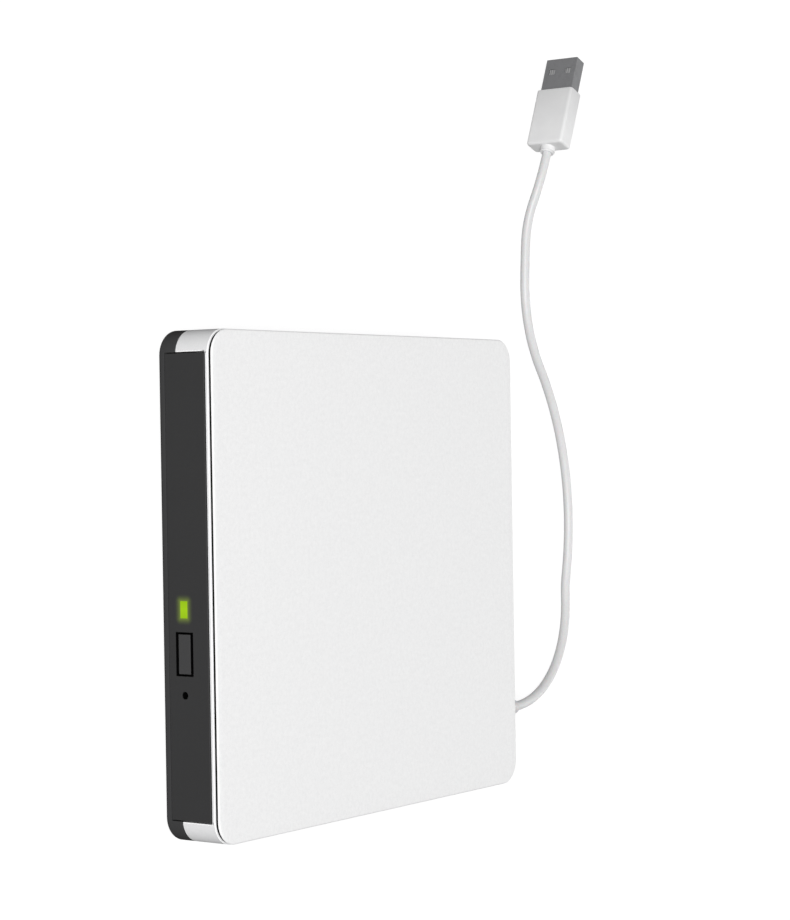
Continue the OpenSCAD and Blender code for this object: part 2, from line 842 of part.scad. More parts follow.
module sata_socket() {
    color(black)
        difference() {
            span([2, bay_y0 + 0.2, z_bb1], [38, bay_y0 + 8, z_bb1 + 4]);
            span([5 - 3 * fit, bay_y0 - 1, z_db1 + 1 - 3 * fit],
                [35 + 3 * fit, bay_y0 + 4.2, z_db1 + 2.2 + 3 * fit]);
        }
}

module bridge_board() {
    color(green)
        span([bridge_x0, bay_y0, z_bb0], [bridge_x1, y_ibk - bridge_back, z_bb1]);
}

module bridge_chips() {
    color(black) {
        for (c = bridge_ic)
            chip([bridge_x0, bay_y0, z_bb1], c);
    }
}

// Cord

// A frame from its origin and three axes
module axes(p, t, e) {
    b = cross(t, e);
    multmatrix([[t[0], e[0], b[0], p[0]], [t[1], e[1], b[1], p[1]], [t[2], e[2], b[2], p[2]], [0, 0, 0, 1]])
        children();
}

function unit(v) = v / norm(v);
function left(t) = unit([-t[1], t[0], 0]);
function up(t) = unit([0, 0, 1] - t[2] * t);
// The end of a bend and its heading
function bend_p(p, t, r, a, e) = p + r * (sin(a) * t + (1 - cos(a)) * e);
function bend_t(t, a, e) = cos(a) * t + sin(a) * e;

// The slant that brings the first bend down to the table
drop = z_seam - cord_r;
slant_a = bend1_r * (1 - cos(bend1_a));
slant_b = settle_r * pow(sin(bend1_a), 2) / 2;
slant = asin((-slant_a + sqrt(slant_a * slant_a + 4 * slant_b * drop)) / (2 * slant_b));
rise = grip_w / 2 - cord_r;
level_a = acos(cos(rise_a) * cos(plug_turn));
level_r = (rise - rise_r * (1 - cos(rise_a))) / (sin(rise_a) * tan(level_a / 2));
c0p = [cord_x, boot_y1, z_seam];
c0t = [0, 1, 0];
c0e = cos(slant) * left(c0t) - sin(slant) * up(c0t);
c1p = bend_p(c0p, c0t, bend1_r, bend1_a, c0e);
c1t = bend_t(c0t, bend1_a, c0e);
c1a = asin(-c1t[2]);
c2p = bend_p(c1p, c1t, settle_r, c1a, up(c1t));
c2t = bend_t(c1t, c1a, up(c1t));
c3p = bend_p(c2p, c2t, bend2_r, bend2_a, left(c2t));
c3t = bend_t(c2t, bend2_a, left(c2t));
c4p = bend_p(c3p, c3t, bend3_r, bend3_a, -left(c3t));
c4t = bend_t(c3t, bend3_a, -left(c3t));
c5p = bend_p(c4p, c4t, bend4_r, bend4_a, -left(c4t));
c5t = bend_t(c4t, bend4_a, -left(c4t));
c6p = bend_p(c5p, c5t, rise_r, rise_a, up(c5t));
c6t = bend_t(c5t, rise_a, up(c5t));
// The last bend levels the cord and turns it to the plug at once
c7t = cos(plug_turn) * c5t - sin(plug_turn) * left(c5t);
c6e = unit(c7t - cos(level_a) * c6t);
c7p = bend_p(c6p, c6t, level_r, level_a, c6e);
bends = [[c0p, c0t, bend1_r, bend1_a, c0e], [c1p, c1t, settle_r, c1a, up(c1t)],
    [c2p, c2t, bend2_r, bend2_a, left(c2t)], [c3p, c3t, bend3_r, bend3_a, -left(c3t)],
    [c4p, c4t, bend4_r, bend4_a, -left(c4t)], [c5p, c5t, rise_r, rise_a, up(c5t)],
    [c6p, c6t, level_r, level_a, c6e]];

// The cord's middle line: points with their headings, from the board to the plug
cord_step = 6;
cord_sides = 16;
cord_run = concat([[[cord_x, cord_in, z_seam], c0t]],
    [for (b = bends)
        for (i = [0 : ceil(b[3] / cord_step) - 1])
            let (a = b[3] * i / ceil(b[3] / cord_step))
            [bend_p(b[0], b[1], b[2], a, b[4]), bend_t(b[1], a, b[4])]],
    [[c7p, c7t], [c7p + (collar_l + 5) * c7t, c7t]]);
cord_points = [for (k = cord_run)
    for (j = [0 : cord_sides - 1])
        k[0] + cord_r * (cos(360 * j / cord_sides) * left(k[1]) + sin(360 * j / cord_sides) * up(k[1]))];
cord_faces = concat([[for (j = [0 : cord_sides - 1]) j]],
    [for (i = [0 : len(cord_run) - 2])
        for (j = [0 : cord_sides - 1])
            [i * cord_sides + j, (i + 1) * cord_sides + j,
                (i + 1) * cord_sides + (j + 1) % cord_sides, i * cord_sides + (j + 1) % cord_sides]],
    [[for (j = [cord_sides - 1 : -1 : 0]) (len(cord_run) - 1) * cord_sides + j]]);

module usb_cable() {
    color(white)
        polyhedron(cord_points, cord_faces, convexity = 6);
}

module cable_boot() {
    color(white)
        translate([cord_x, 0, z_seam])
            difference() {
                union() {
                    rod_y(neck_r + 1.2, y_ibk - 1.6, y_ibk);
                    rod_y(neck_r, y_ibk - 0.5, y_back + 0.5);
                    translate([0, y_back, 0])
                        rotate([-90, 0, 0])
                            cylinder(r1 = boot_r0, r2 = boot_r1, h = boot_l, $fn = 40);
                }
                rod_y(cord_r + fit, y_ibk - 3, boot_y1 + 1);
                // Flex slots, turned about the cord
                for (i = [0 : 3], s = [0, 180])
                    translate([0, y_back + 4.2 + 3.4 * i, 0])
                        rotate([0, s + 90 * (i % 2), 0])
                            span([cord_r + 0.5, 0, -boot_r0], [boot_r0 + 1, 1.3, boot_r0]);
            }
}

// Plug, along its own X from the end of the cord; Y is its thickness and Z its width
module on_plug() {
    axes(c7p, c7t, left(c7t))
        children();
}

module plug_grip() {
    color(white)
        on_plug()
            difference() {
                union() {
                    rod_x(collar_r, 0, collar_l + 1);
                    translate([collar_l, 0, 0])
                        rotate([90, 0, 90])
                            linear_extrude(grip_l)
                                plan(grip_t / 2, grip_w / 2, grip_r);
                }
                rod_x(cord_r + fit, -1, collar_l + 5.2);
                span([collar_l + grip_l - usb_in, -usb_h / 2 - fit, -usb_w / 2 - fit],
                    [collar_l + grip_l + 1, usb_h / 2 + fit, usb_w / 2 + fit]);
            }
}

usb_x0 = collar_l + grip_l - usb_in;
usb_x1 = collar_l + grip_l + usb_l;

module plug_shell() {
    color(steel)
        on_plug()
            difference() {
                span([usb_x0, -usb_h / 2, -usb_w / 2], [usb_x1, usb_h / 2, usb_w / 2]);
                span([usb_x0 - 1, -usb_h / 2 + usb_t, -usb_w / 2 + usb_t],
                    [usb_x1 + 1, usb_h / 2 - usb_t, usb_w / 2 - usb_t]);
                for (s = [-1, 1])
                    span([usb_x1 - usb_win_x - 1, -usb_h, s * usb_win_z - 1.1],
                        [usb_x1 - usb_win_x + 1, usb_h, s * usb_win_z + 1.1]);
            }
}

module plug_tongue() {
    color(black)
        on_plug() {
            span([usb_x0, -usb_h / 2 + usb_t, -usb_w / 2 + usb_t],
                [usb_x1 - 9, usb_h / 2 - usb_t, usb_w / 2 - usb_t]);
            span([usb_x1 - 9.5, 0.05, -usb_w / 2 + usb_t],
                [usb_x1 - 0.4, usb_h / 2 - usb_t, usb_w / 2 - usb_t]);
        }
}

module plug_contacts() {
    color(brass)
        on_plug()
            for (i = [0 : 3])
                span([usb_x1 - 9, -0.07, -3.5 + i * 2.33 - 0.5],
                    [usb_x1 - (i == 0 || i == 3 ? 1.2 : 2.2), 0.05, -3.5 + i * 2.33 + 0.5]);
}

// Tray

module tray_outline() {
    polygon([[-slab_hw, y_bez], [slab_hw, y_bez], [slab_hw, y_tray1 - tray_cut],
        [slab_hw - tray_cut, y_tray1],
        [-slab_hw + tray_cut, y_tray1], [-slab_hw, y_tray1 - tray_cut]]);
}

lamp_back_h = lamp_h - 0.8;
pegs = [-46, 46];
board_pins = [[41, -30], [51, 4], [36, -54.5]];

module tray_base() {
    color(black)
        difference() {
            union() {
                translate([0, 0, z_tray0])
                    linear_extrude(z_tray1 - z_tray0)
                        tray_outline();
                for (s = [0, 1])
                    mirror([s, 0, 0]) {
                        span([skirt_ix, y_bez, z_skirt0], [skirt_ox, y_tray1 - tray_cut, z_tray0 + 0.2]);
                        span([skirt_ox - 0.2, y_wall, z_tong0],
                            [tongue_ox, y_tray1 - tray_cut + 12, z_tong1]);
                        span([skirt_ix, y_tray1 - tray_cut - 0.2, z_tong0],
                            [skirt_ox, y_tray1 - tray_cut + 12, z_tong1]);
                    }
                span([-skirt_ix - 0.2, y_bez, z_skirt0], [skirt_ix + 0.2, y_wall, z_tray0 + 0.2]);
                // Bosses of the traverse dampers
                on_traverse()
                    for (p = dampers)
                        translate([p[0], p[1], z_pl0 - 1.2])
                            cylinder(r = 1.5, h = z_tray0 - z_pl0 + 1.4, $fn = 28);
                // Stakes of the tray board
                for (p = board_pins)
                    translate([p[0], yc + p[1], 0]) {
                        translate([0, 0, z_tb1])
                            cylinder(r = 1.6, h = z_tray0 - z_tb1 + 0.2, $fn = 28);
                        translate([0, 0, z_tb0 - 0.5])
                            cylinder(r = 0.8, h = z_tray0 - z_tb0 + 0.5, $fn = 24);
                    }
                // Pivot of the latch
                translate([latch_x, latch_py - latch_arm, z_pan1 + 1])
                    cylinder(r = pivot_r, h = z_tray0 - z_pan1 - 0.8, $fn = 32);
                // Seat of the solenoid
                span([latch_x - 12, latch_py - latch_arm - 16, z_tray0 - 0.6],
                    [latch_x + 3, latch_py - latch_arm - 5, z_tray0 + 0.2]);
            }
            // Disc well and its data relief
            translate([0, yc, z_seat])
                cylinder(r = well_r, h = 10, $fn = 144);
            translate([0, yc, z_relief])
                cylinder(r = well_r - seat_w, h = 10, $fn = 144);
            // Window over the traverse
            translate([0, yc, z_tray0 - 1])
                cylinder(r = table_r + 4.4, h = 10, $fn = 72);
            on_traverse()
                translate([0, 0, z_tray0 - 1])
                    linear_extrude(10)
                        translate([0, -sled_hw - 1.5])
                            square([win_end + 1.4, 2 * sled_hw + 3]);
            // Screw holes of the dampers
            on_traverse()
                for (p = dampers)
                    translate([p[0], p[1], z_pl0 - 3])
                        cylinder(r = 0.6, h = 4.4, $fn = 20);
            // Ways through the front wall
            span([lamp_x - lamp_w / 2 - 0.1, y_bez - 1, control_z - lamp_back_h / 2 - 0.3],
                [lamp_x + lamp_w / 2 + 0.1, y_wall + 1, control_z + lamp_back_h / 2 - 0.1]);
            span([button_x - 1.4, y_bez - 1, z_tb0 - 2], [button_x + 1.4, y_wall + 1, z_tb0 - 0.1]);
            translate([pin_x, 0, control_z])
                rod_y(pin_r + 0.25, y_bez - 1, y_wall + 0.5);
            // Pegs of the bezel
            for (x = pegs)
                translate([x, 0, (z_tray0 + z_tray1) / 2])
                    rod_y(1.2 + fit, y_bez - 1, y_bez + 3.2);
        }
}

module front_bezel() {
    color(black)
        difference() {
            union() {
                translate([0, y_front + bezel_cut, 0])
                    span([-bezel_hw, 0, z_bez0], [bezel_hw, bezel_t - bezel_cut, z_bez1]);
                // Chamfered front, one slope on each edge
                intersection() {
                    translate([0, 0, z_bez0])
                        linear_extrude(z_bez1 - z_bez0)
                            polygon([[-bezel_hw + bezel_cut, y_front], [bezel_hw - bezel_cut, y_front],
                                [bezel_hw, y_front + bezel_cut], [bezel_hw, y_front + 1],
                                [-bezel_hw, y_front + 1], [-bezel_hw, y_front + bezel_cut]]);
                    translate([-bezel_hw, 0, 0])
                        rotate([90, 0, 90])
                            linear_extrude(2 * bezel_hw)
                                polygon([[y_front, z_bez0 + bezel_cut], [y_front + bezel_cut, z_bez0],
                                    [y_front + 1, z_bez0], [y_front + 1, z_bez1],
                                    [y_front + bezel_cut, z_bez1], [y_front, z_bez1 - bezel_cut]]);
                }
                for (x = pegs)
                    translate([x, 0, (z_tray0 + z_tray1) / 2])
                        rod_y(1.2, y_bez - 1, y_bez + 3);
            }
            // Button, its flange pocket, light window and release hole
            span([button_x - button_w / 2 - button_gap_x, y_front - 1,
                control_z - button_h / 2 - button_gap_z],
                [button_x + button_w / 2 + button_gap_x, y_bez + 1, control_z + button_h / 2
                    + button_gap_z]);
            span([button_x - button_w / 2 - 1.4, y_front + bezel_skin,
                control_z - button_h / 2 - button_gap_z],
                [button_x + button_w / 2 + 1.4, y_bez + 1, control_z + button_h / 2 + button_gap_z]);
            span([lamp_x - lamp_w / 2 - fit, y_front - 1, control_z - lamp_h / 2 - fit],
                [lamp_x + lamp_w / 2 + fit, y_bez + 1, control_z + lamp_h / 2 + fit]);
            translate([pin_x, 0, control_z])
                rod_y(pin_r, y_front - 1, y_bez + 1);
        }
}

module led_lens() {
    color([0.6, 0.8, 0.2]) {
        span([lamp_x - lamp_w / 2, y_front, control_z - lamp_h / 2],
            [lamp_x + lamp_w / 2, y_bez, control_z + lamp_h / 2]);
        span([lamp_x - lamp_w / 2 + 0.3, y_bez - 0.5, control_z - lamp_back_h / 2 - 0.2],
            [lamp_x + lamp_w / 2 - 0.3, y_wall + 0.4, control_z + lamp_back_h / 2 - 0.2]);
    }
}

module eject_button() {
    color(black)
        union() {
            translate([0, y_front, 0])
                span([button_x - button_w / 2, 0, control_z - button_h / 2],
                    [button_x + button_w / 2, bezel_skin + 0.2, control_z + button_h / 2]);
            // Flange behind the bezel's skin
            span([button_x - button_w / 2 - 1.1, y_front + bezel_skin, control_z - button_h / 2],
                [button_x + button_w / 2 + 1.1, y_front + bezel_skin + 0.6, control_z + button_h / 2]);
            // Stem to the switch
            span([button_x - 1, y_front + bezel_skin, z_tb0 - 1.7], [button_x + 1, y_wall, z_tb0 - 0.4]);
        }
}

module tray_shield() {
    color(steel)
        difference() {
            span([-skirt_ox, y_bez, z_skirt0 - shield_t], [34, yc + 18, z_skirt0]);
            translate([0, yc, 0])
                cylinder(r = 4, h = z_tray0, $fn = 36);
        }
}

module tray_board() {
    color(green)
        difference() {
            translate([0, yc, z_tb0])
                linear_extrude(board_t)
                    polygon([[tray_bx0, -tray_by0], [tray_bx1, -tray_by0], [tray_bx1, tray_by1],
                        [tray_bx1 - tray_bw, tray_by1],
                        [tray_bx1 - tray_bw, tray_bd - tray_by0], [tray_bx0, tray_bd - tray_by0]]);
            for (p = board_pins)
                translate([p[0], yc + p[1], z_tb0 - 1])
                    cylinder(r = 0.8 + fit, h = board_t + 2, $fn = 24);
        }
}

module eject_switch() {
    color(black) {
        span([button_x - 3, y_wall + 1.6, z_tb0 - 2], [button_x + 3, y_wall + 5, z_tb0]);
        span([button_x - 0.8, y_wall + button_travel + 0.1, z_tb0 - 1.5],
            [button_x + 0.8, y_wall + 2, z_tb0 - 0.6]);
    }
}

module status_led() {
    color(white)
        span([lamp_x - 0.8, y_wall + 0.9, z_tb1], [lamp_x + 0.8, y_wall + 2.2, z_tb1 + 0.8]);
}

module flex_socket() {
    color(black)
        difference() {
            span([flex_x - flex_w / 2 - 1, yc + 24, z_tb0 - 2.2],
                [flex_x + flex_w / 2 + 1, yc + 29, z_tb0]);
            span([flex_x - flex_w / 2 - 0.2, yc + 23, flex_z1 - 0.3],
                [flex_x + flex_w / 2 + 0.2, yc + 27.5, flex_z1 + 0.3]);
        }
}

// Latch

module latch_hook() {
    r0 = latch_arm + latch_r + latch_gap;
    color(steel)
        translate([latch_x, latch_py - latch_arm, z_tray0 - 4.6])
            rotate([0, 0, -latch_turn])
                difference() {
                    union() {
                        cylinder(r = pivot_r + 1.4, h = 1.6, $fn = 40);
                        linear_extrude(1.6)
                            polygon([[1, 0], [latch_r + latch_gap + 2, 2],
                                [latch_r + latch_gap + 2, r0 + 2],
                                [-latch_r, r0 + 2], [-latch_r, r0 + 1.2], [-latch_r + 1.2, r0],
                                    [latch_r + latch_gap, r0],
                                [latch_r + latch_gap, 6], [0, 2]]);
                        linear_extrude(1.6)
                            polygon([[-2, 0], [2, 0], [1, -5], [-1, -5]]);
                    }
                    translate([0, 0, -1])
                        cylinder(r = pivot_r + shaft_fit, h = 4, $fn = 40);
                }
}

module latch_solenoid() {
    color(brass)
        translate([latch_x, latch_py - latch_arm, 0]) {
            span([-11, -15, z_tray0 - 4.2], [2, -7, z_tray0 - 0.6]);
            span([-13, -12.4, z_tray0 - 3.4], [-10, -9.6, z_tray0 - 1.4]);
        }
}

// Traverse

module traverse_plate() {
    color(steel)
        on_traverse()
            difference() {
                union() {
                    translate([0, 0, z_pl0])
                        linear_extrude(plate_t)
                            polygon([[-plate_back, -plate_hw], [-plate_back, plate_hw],
                                [plate_end - plate_cut_a[0], plate_hw],
                                [plate_end, plate_hw - plate_cut_a[1]],
                                    [plate_end, plate_cut_b[1] - plate_hw],
                                [plate_end - plate_cut_b[0], -plate_hw]]);
                    // Rod holders
                    for (s = [-1, 1], x = [rod_in - clip_l, win_end + 0.2])
                        span([x, s * rod_lat - 2, z_pl0 - clip_h],
                            [x + clip_l, s * rod_lat + 2, z_pl0 + 0.2]);
                    // Tabs of the stepper and of the lead screw's far end
                    span([stepper_x1, lead_lat - 3.4, z_pl0 - clip_h],
                        [stepper_x1 + tab_t, lead_lat + 3.4, z_pl0 + 0.2]);
                    span([screw_x1, lead_lat - 2, z_pl0 - clip_h],
                        [screw_x1 + tab_t, lead_lat + 2, z_pl0 + 0.2]);
                }
                // Window of the pickup and hole of the motor
                span([rod_in, -win_hw, z_pl0 - 0.01], [win_end, win_hw, z_pl1 + 1]);
                span([0, -8, z_pl0 - 0.01], [rod_in + 1, 8, z_pl1 + 1]);
                translate([0, 0, z_pl0 - 0.01])
                    cylinder(r = rotor_r + 0.6, h = 4, $fn = 60);
                // Notch of the stepper
                span([stepper_x1 - stepper_l - 0.6, lead_lat - stepper_hw - 0.4, z_pl0 - 0.01],
                    [stepper_x1, 25, z_pl1 + 1]);
                for (p = dampers)
                    translate([p[0], p[1], z_pl0 - 1])
                        cylinder(r = 2.2, h = 4, $fn = 32);
                for (s = [-1, 1])
                    translate([0, s * rod_lat, z_rod])
                        rod_x(rod_r + 0.02, rod_in - clip_l - 1, win_end + clip_l + 2);
                translate([0, lead_lat, z_rod])
                    rod_x(journal_r + shaft_fit, stepper_x1 - 1, screw_x1 + tab_t + 1);
            }
}

module plate_dampers() {
    color(rubber)
        on_traverse()
            for (p = dampers)
                translate([p[0], p[1], 0])
                    rotate_extrude($fn = 40)
                        polygon([[1.52, z_pl0 - 1.2], [damper_r, z_pl0 - 1.2], [damper_r, z_pl0],
                            [2.15, z_pl0],
                            [2.15, z_pl1], [damper_r, z_pl1], [damper_r, z_tray0], [1.52, z_tray0]]);
}

module damper_screws() {
    color(steel)
        on_traverse()
            for (p = dampers)
                translate([p[0], p[1], z_pl0 - 1.9]) {
                    cylinder(r = 2.2, h = 0.7, $fn = 32);
                    cylinder(r = 0.56, h = 2.6, $fn = 20);
                }
}

module motor_base() {
    color(steel)
        translate([0, yc, 0])
            difference() {
                union() {
                    translate([0, 0, z_pl0 - base_t])
                        cylinder(r = base_r, h = base_t, $fn = 72);
                    translate([0, 0, z_skirt0 + 0.3])
                        cylinder(r = shaft_r + 1.6, h = z_rotor1 - 1 - z_skirt0 - 0.3, $fn = 40);
                }
                translate([0, 0, z_skirt0 + 0.6])
                    cylinder(r = shaft_r + shaft_fit, h = 10, $fn = 36);
            }
}

module motor_stator() {
    color(brass)
        translate([0, yc, z_pl0])
            linear_extrude(z_rotor1 - 1.2 - z_pl0)
                difference() {
                    union() {
                        circle(5, $fn = 48);
                        for (a = [0 : 40 : 320])
                            rotate(a) {
                                translate([4, -1.1])
                                    square([4.4, 2.2]);
                                translate([8.3, -2.4])
                                    square([1, 4.8]);
                            }
                    }
                    circle(shaft_r + 1.65, $fn = 40);
                }
}

module guide_rod(s) {
    on_traverse()
        translate([0, s * rod_lat, z_rod])
            rod_x(rod_r, rod_in - clip_l + 0.1, win_end + clip_l);
}

module guide_rod_front() {
    color(steel)
        guide_rod(1);
}

module guide_rod_rear() {
    color(steel)
        guide_rod(-1);
}

module sled_motor() {
    color(grey)
        on_traverse()
            difference() {
                intersection() {
                    translate([0, lead_lat, z_rod])
                        rod_x(stepper_hw, stepper_x1 - stepper_l, stepper_x1);
                    span([stepper_x1 - stepper_l - 1, 0, z_skirt0 + 0.15],
                        [stepper_x1 + 1, 40, z_tray0 - 0.2]);
                }
                translate([0, lead_lat, z_rod])
                    rod_x(journal_r + shaft_fit, stepper_x1 - 4, stepper_x1 + 1);
            }
}

// Spindle

module spindle_rotor() {
    color(steel)
        translate([0, yc, 0]) {
            difference() {
                translate([0, 0, z_pl0 + 0.3])
                    cylinder(r = rotor_r, h = z_rotor1 - z_pl0 - 0.3, $fn = 72);
                translate([0, 0, z_pl0 - 1])
                    cylinder(r = rotor_r - 0.8, h = z_rotor1 - 0.6 - z_pl0 + 1, $fn = 72);
            }
            translate([0, 0, z_skirt0 + 0.9])
                cylinder(r = shaft_r, h = z_table1 + 1.4 - z_skirt0 - 0.9, $fn = 36);
        }
}

module turntable() {
    color(black)
        translate([0, yc, 0])
            difference() {
                union() {
                    translate([0, 0, z_rotor1])
                        cylinder(r = table_r, h = table_t, $fn = 72);
                    translate([0, 0, z_table1 - 0.2])
                        cylinder(r = hub_r, h = hub_h - 0.4, $fn = 60);
                    translate([0, 0, z_hub1 - 0.6])
                        cylinder(r1 = hub_r, r2 = hub_r - 0.9, h = 0.6, $fn = 60);
                }
                translate([0, 0, z_rotor1 - 1])
                    cylinder(r = shaft_r + 0.01, h = z_table1 + 1.5 - z_rotor1 + 1, $fn = 36);
                // Dish in the hub's top
                translate([0, 0, z_hub1 - 0.5])
                    cylinder(r = 3, h = 2, $fn = 36);
                for (a = [90, 210, 330])
                    rotate([0, 0, a])
                        span([claw_back - claw_travel - 0.3, -claw_w / 2 - claw_gap, claw_z0 - 0.1],
                            [hub_r + 1, claw_w / 2 + claw_gap, claw_z1 + 0.1]);
            }
}

module turntable_pad() {
    color(rubber)
        translate([0, yc, z_table1])
            linear_extrude(pad_t)
                difference() {
                    circle(table_r - 0.2, $fn = 72);
                    circle(table_r - 3, $fn = 60);
                }
}

module clamp_claw(a) {
    translate([0, yc, 0])
        rotate([0, 0, a])
            translate([0, claw_w / 2, 0])
                rotate([90, 0, 0])
                    linear_extrude(claw_w)
                        polygon([[claw_back, claw_z0], [hub_r - 0.3, claw_z0],
                            [hub_r + claw_reach, claw_z0 + 0.9], [hub_r + claw_reach, claw_z0 + 1.1],
                            [hub_r - 0.3, claw_z1], [claw_back, claw_z1]]);
}

module clamp_claw_a() {
    color(grey)
        clamp_claw(90);
}

module clamp_claw_b() {
    color(grey)
        clamp_claw(210);
}

module clamp_claw_c() {
    color(grey)
        clamp_claw(330);
}

// Pickup

module pickup_base() {
    color(grey)
        on_traverse()
            translate([lens_in, 0, 0])
                difference() {
                    union() {
                        span([-sled_back, -sled_hw, z_sled0], [sled_front, sled_hw, z_sled1]);
                    }
                    for (s = [-1, 1])
                        translate([0, s * rod_lat, z_rod])
                            rod_x(rod_r + shaft_fit, -sled_back - 1, sled_front + 1);
                    // Well of the lens drive
                    span([-4.6, -5.6, z_sled1 - 1.6], [4.6, 5.6, z_sled1 + 1]);
                }
}

module pickup_cover() {
    color(black)
        on_traverse()
            translate([lens_in, 0, 0])
                difference() {
                    span([-sled_back + 0.5, -sled_hw + 0.5, z_sled1],
                        [sled_front - 0.3, sled_hw - 0.5, z_shell1]);
                    span([-4.6, -5.6, z_sled1 - 1], [4.6, 5.6, z_shell1 + 1]);
                }
}

module lens_holder() {
    color(black)
        on_traverse()
            translate([lens_in, 0, 0])
                difference() {
                    span([-3.9, -4.9, z_sled1 - 0.9], [3.9, 4.9, z_shell1 + 0.5]);
                    translate([0, 0, z_sled1 - 2])
                        cylinder(r = lens_r - 0.4, h = 4, $fn = 36);
                    translate([0, 0, z_shell1 + 0.2])
                        cylinder(r = lens_r + 0.01, h = 2, $fn = 40);
                }
}

module objective_lens() {
    color([0.6, 0.75, 0.9])
        on_traverse()
            translate([lens_in, 0, z_shell1 + 0.2])
                rotate_extrude($fn = 48)
                    polygon(concat([[0, 0], [lens_r, 0], [lens_r, 0.4]],
                        [for (a = [20 : 17.5 : 90]) [lens_r * 0.9 * cos(a), 0.3 + 0.8 * sin(a)]]));
}

module sled_nut() {
    color(white)
        on_traverse()
            translate([lens_in, 0, 0])
                union() {
                    span([-8, sled_hw, z_rod - 1.1], [-2, lead_lat - lead_r - nut_gap - 0.6, z_rod + 1.1]);
                    for (i = [0 : 3])
                        span([-7.7 + i * 1.5, sled_hw + 1, z_rod - 0.5],
                            [-7 + i * 1.5, lead_lat - lead_r - nut_gap, z_rod + 0.5]);
                }
}

module lead_screw() {
    color(steel)
        on_traverse()
            translate([0, lead_lat, z_rod]) {
                rod_x(lead_r, stepper_x1 + tab_t + 0.15, screw_x1 - 0.15);
                rod_x(journal_r, stepper_x1 - 3.6, screw_x1 + tab_t);
            }
}

bottom_shell();
upper_frame();
cover_adhesive();
top_cover();
rubber_feet();
case_screws();
drive_pan();
drive_lid();
foam_strips();
rail_guide_left();
rail_guide_right();
drive_board();
drive_chips();
flex_ribbon();
latch_post();
sata_plug();
sata_socket();
bridge_board();
bridge_chips();
cable_boot();
usb_cable();
plug_grip();
plug_shell();
plug_tongue();
plug_contacts();
slide_rail_left();
slide_rail_right();
tray_base();
front_bezel();
led_lens();
tray_shield();
tray_board();
eject_switch();
status_led();
flex_socket();
latch_solenoid();
traverse_plate();
plate_dampers();
damper_screws();
motor_base();
motor_stator();
guide_rod_front();
guide_rod_rear();
sled_motor();
spindle_rotor();
turntable();
turntable_pad();
clamp_claw_a();
clamp_claw_b();
clamp_claw_c();
pickup_base();
pickup_cover();
sled_nut();
lens_holder();
objective_lens();
lead_screw();
latch_hook();
eject_button();
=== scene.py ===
# %% [markdown]
# A slim disc drive, dressed for its picture.
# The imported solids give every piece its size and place, in metres.
# This lesson puts finishes on those solids, and works out the few surfaces that want finer forms
# than a solid should carry: the jacketed cord, the moulded grip, the lacquered cover, a lens, a thread.
# Those keep the numbers of the solids they stand for, written in millimetres.

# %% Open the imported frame
import bmesh
import bpy
import numpy as np
from mathutils import Matrix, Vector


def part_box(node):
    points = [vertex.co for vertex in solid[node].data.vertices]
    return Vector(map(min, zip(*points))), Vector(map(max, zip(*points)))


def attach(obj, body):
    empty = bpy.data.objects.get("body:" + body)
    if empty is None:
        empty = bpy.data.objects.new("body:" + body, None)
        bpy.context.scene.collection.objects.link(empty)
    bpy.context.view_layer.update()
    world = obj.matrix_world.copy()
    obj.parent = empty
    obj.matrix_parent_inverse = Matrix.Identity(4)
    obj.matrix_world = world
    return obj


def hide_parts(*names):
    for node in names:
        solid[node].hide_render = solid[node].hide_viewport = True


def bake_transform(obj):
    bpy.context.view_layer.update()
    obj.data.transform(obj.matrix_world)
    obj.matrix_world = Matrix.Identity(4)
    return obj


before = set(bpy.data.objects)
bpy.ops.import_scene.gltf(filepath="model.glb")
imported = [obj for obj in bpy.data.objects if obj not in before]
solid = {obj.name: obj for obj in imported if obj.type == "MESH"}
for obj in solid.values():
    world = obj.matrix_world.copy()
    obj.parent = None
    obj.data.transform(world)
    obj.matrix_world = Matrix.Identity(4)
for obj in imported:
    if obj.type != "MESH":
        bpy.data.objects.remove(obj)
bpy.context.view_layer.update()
MM = 0.001

# %% [markdown]
# The camera stands in front of the drive and above it, rolled a quarter turn, so that the bezel shows on the
# left of the picture and the cover on the right. Its place came from fitting the case's edges to the picture.
# Three axes are safer than three angles here: with so much roll, angles are easy to get in the wrong order.

# %% The camera
def unit(v):
    """The vector, or each row of vectors, divided by its length."""
    return v / np.linalg.norm(v, axis=-1, keepdims=True)


def facing(axes):
    """A placing at the origin whose own X, Y and Z lie along three given axes."""
    return Matrix([[*row, 0] for row in np.stack(axes).tolist()] + [[0, 0, 0, 1]]).transposed()


eye = np.array([-40.3, -588.3, 446.6]) * MM
ahead = unit(np.array([0.0099, 0.8142, -0.5805]))
across = np.array([0.0157, 0.5803, 0.8142])
upright = unit(np.cross(across, ahead))
across = np.cross(ahead, upright)

camera = bpy.data.objects.new("camera", bpy.data.cameras.new("camera"))
camera.data.sensor_width, camera.data.lens = 36.0, 97.18
camera.matrix_world = facing([across, upright, -ahead])
camera.location = eye
bpy.context.collection.objects.link(camera)
bpy.context.scene.camera = camera
bpy.context.scene.view_settings.view_transform = "Standard"
print("camera looks along", np.round(ahead, 3))

# %% [markdown]
# Every new surface below is a grid of points: one parameter runs along it, the other goes round it.
# The grid's neighbours make the quads, and flat caps close the two ends.
# Points that fall on each other, as at a pole, are merged, and the faces are turned to look outwards.

# %% From a grid of rings to a closed skin
SHARP, SAME_SPOT = 35, 1e-8


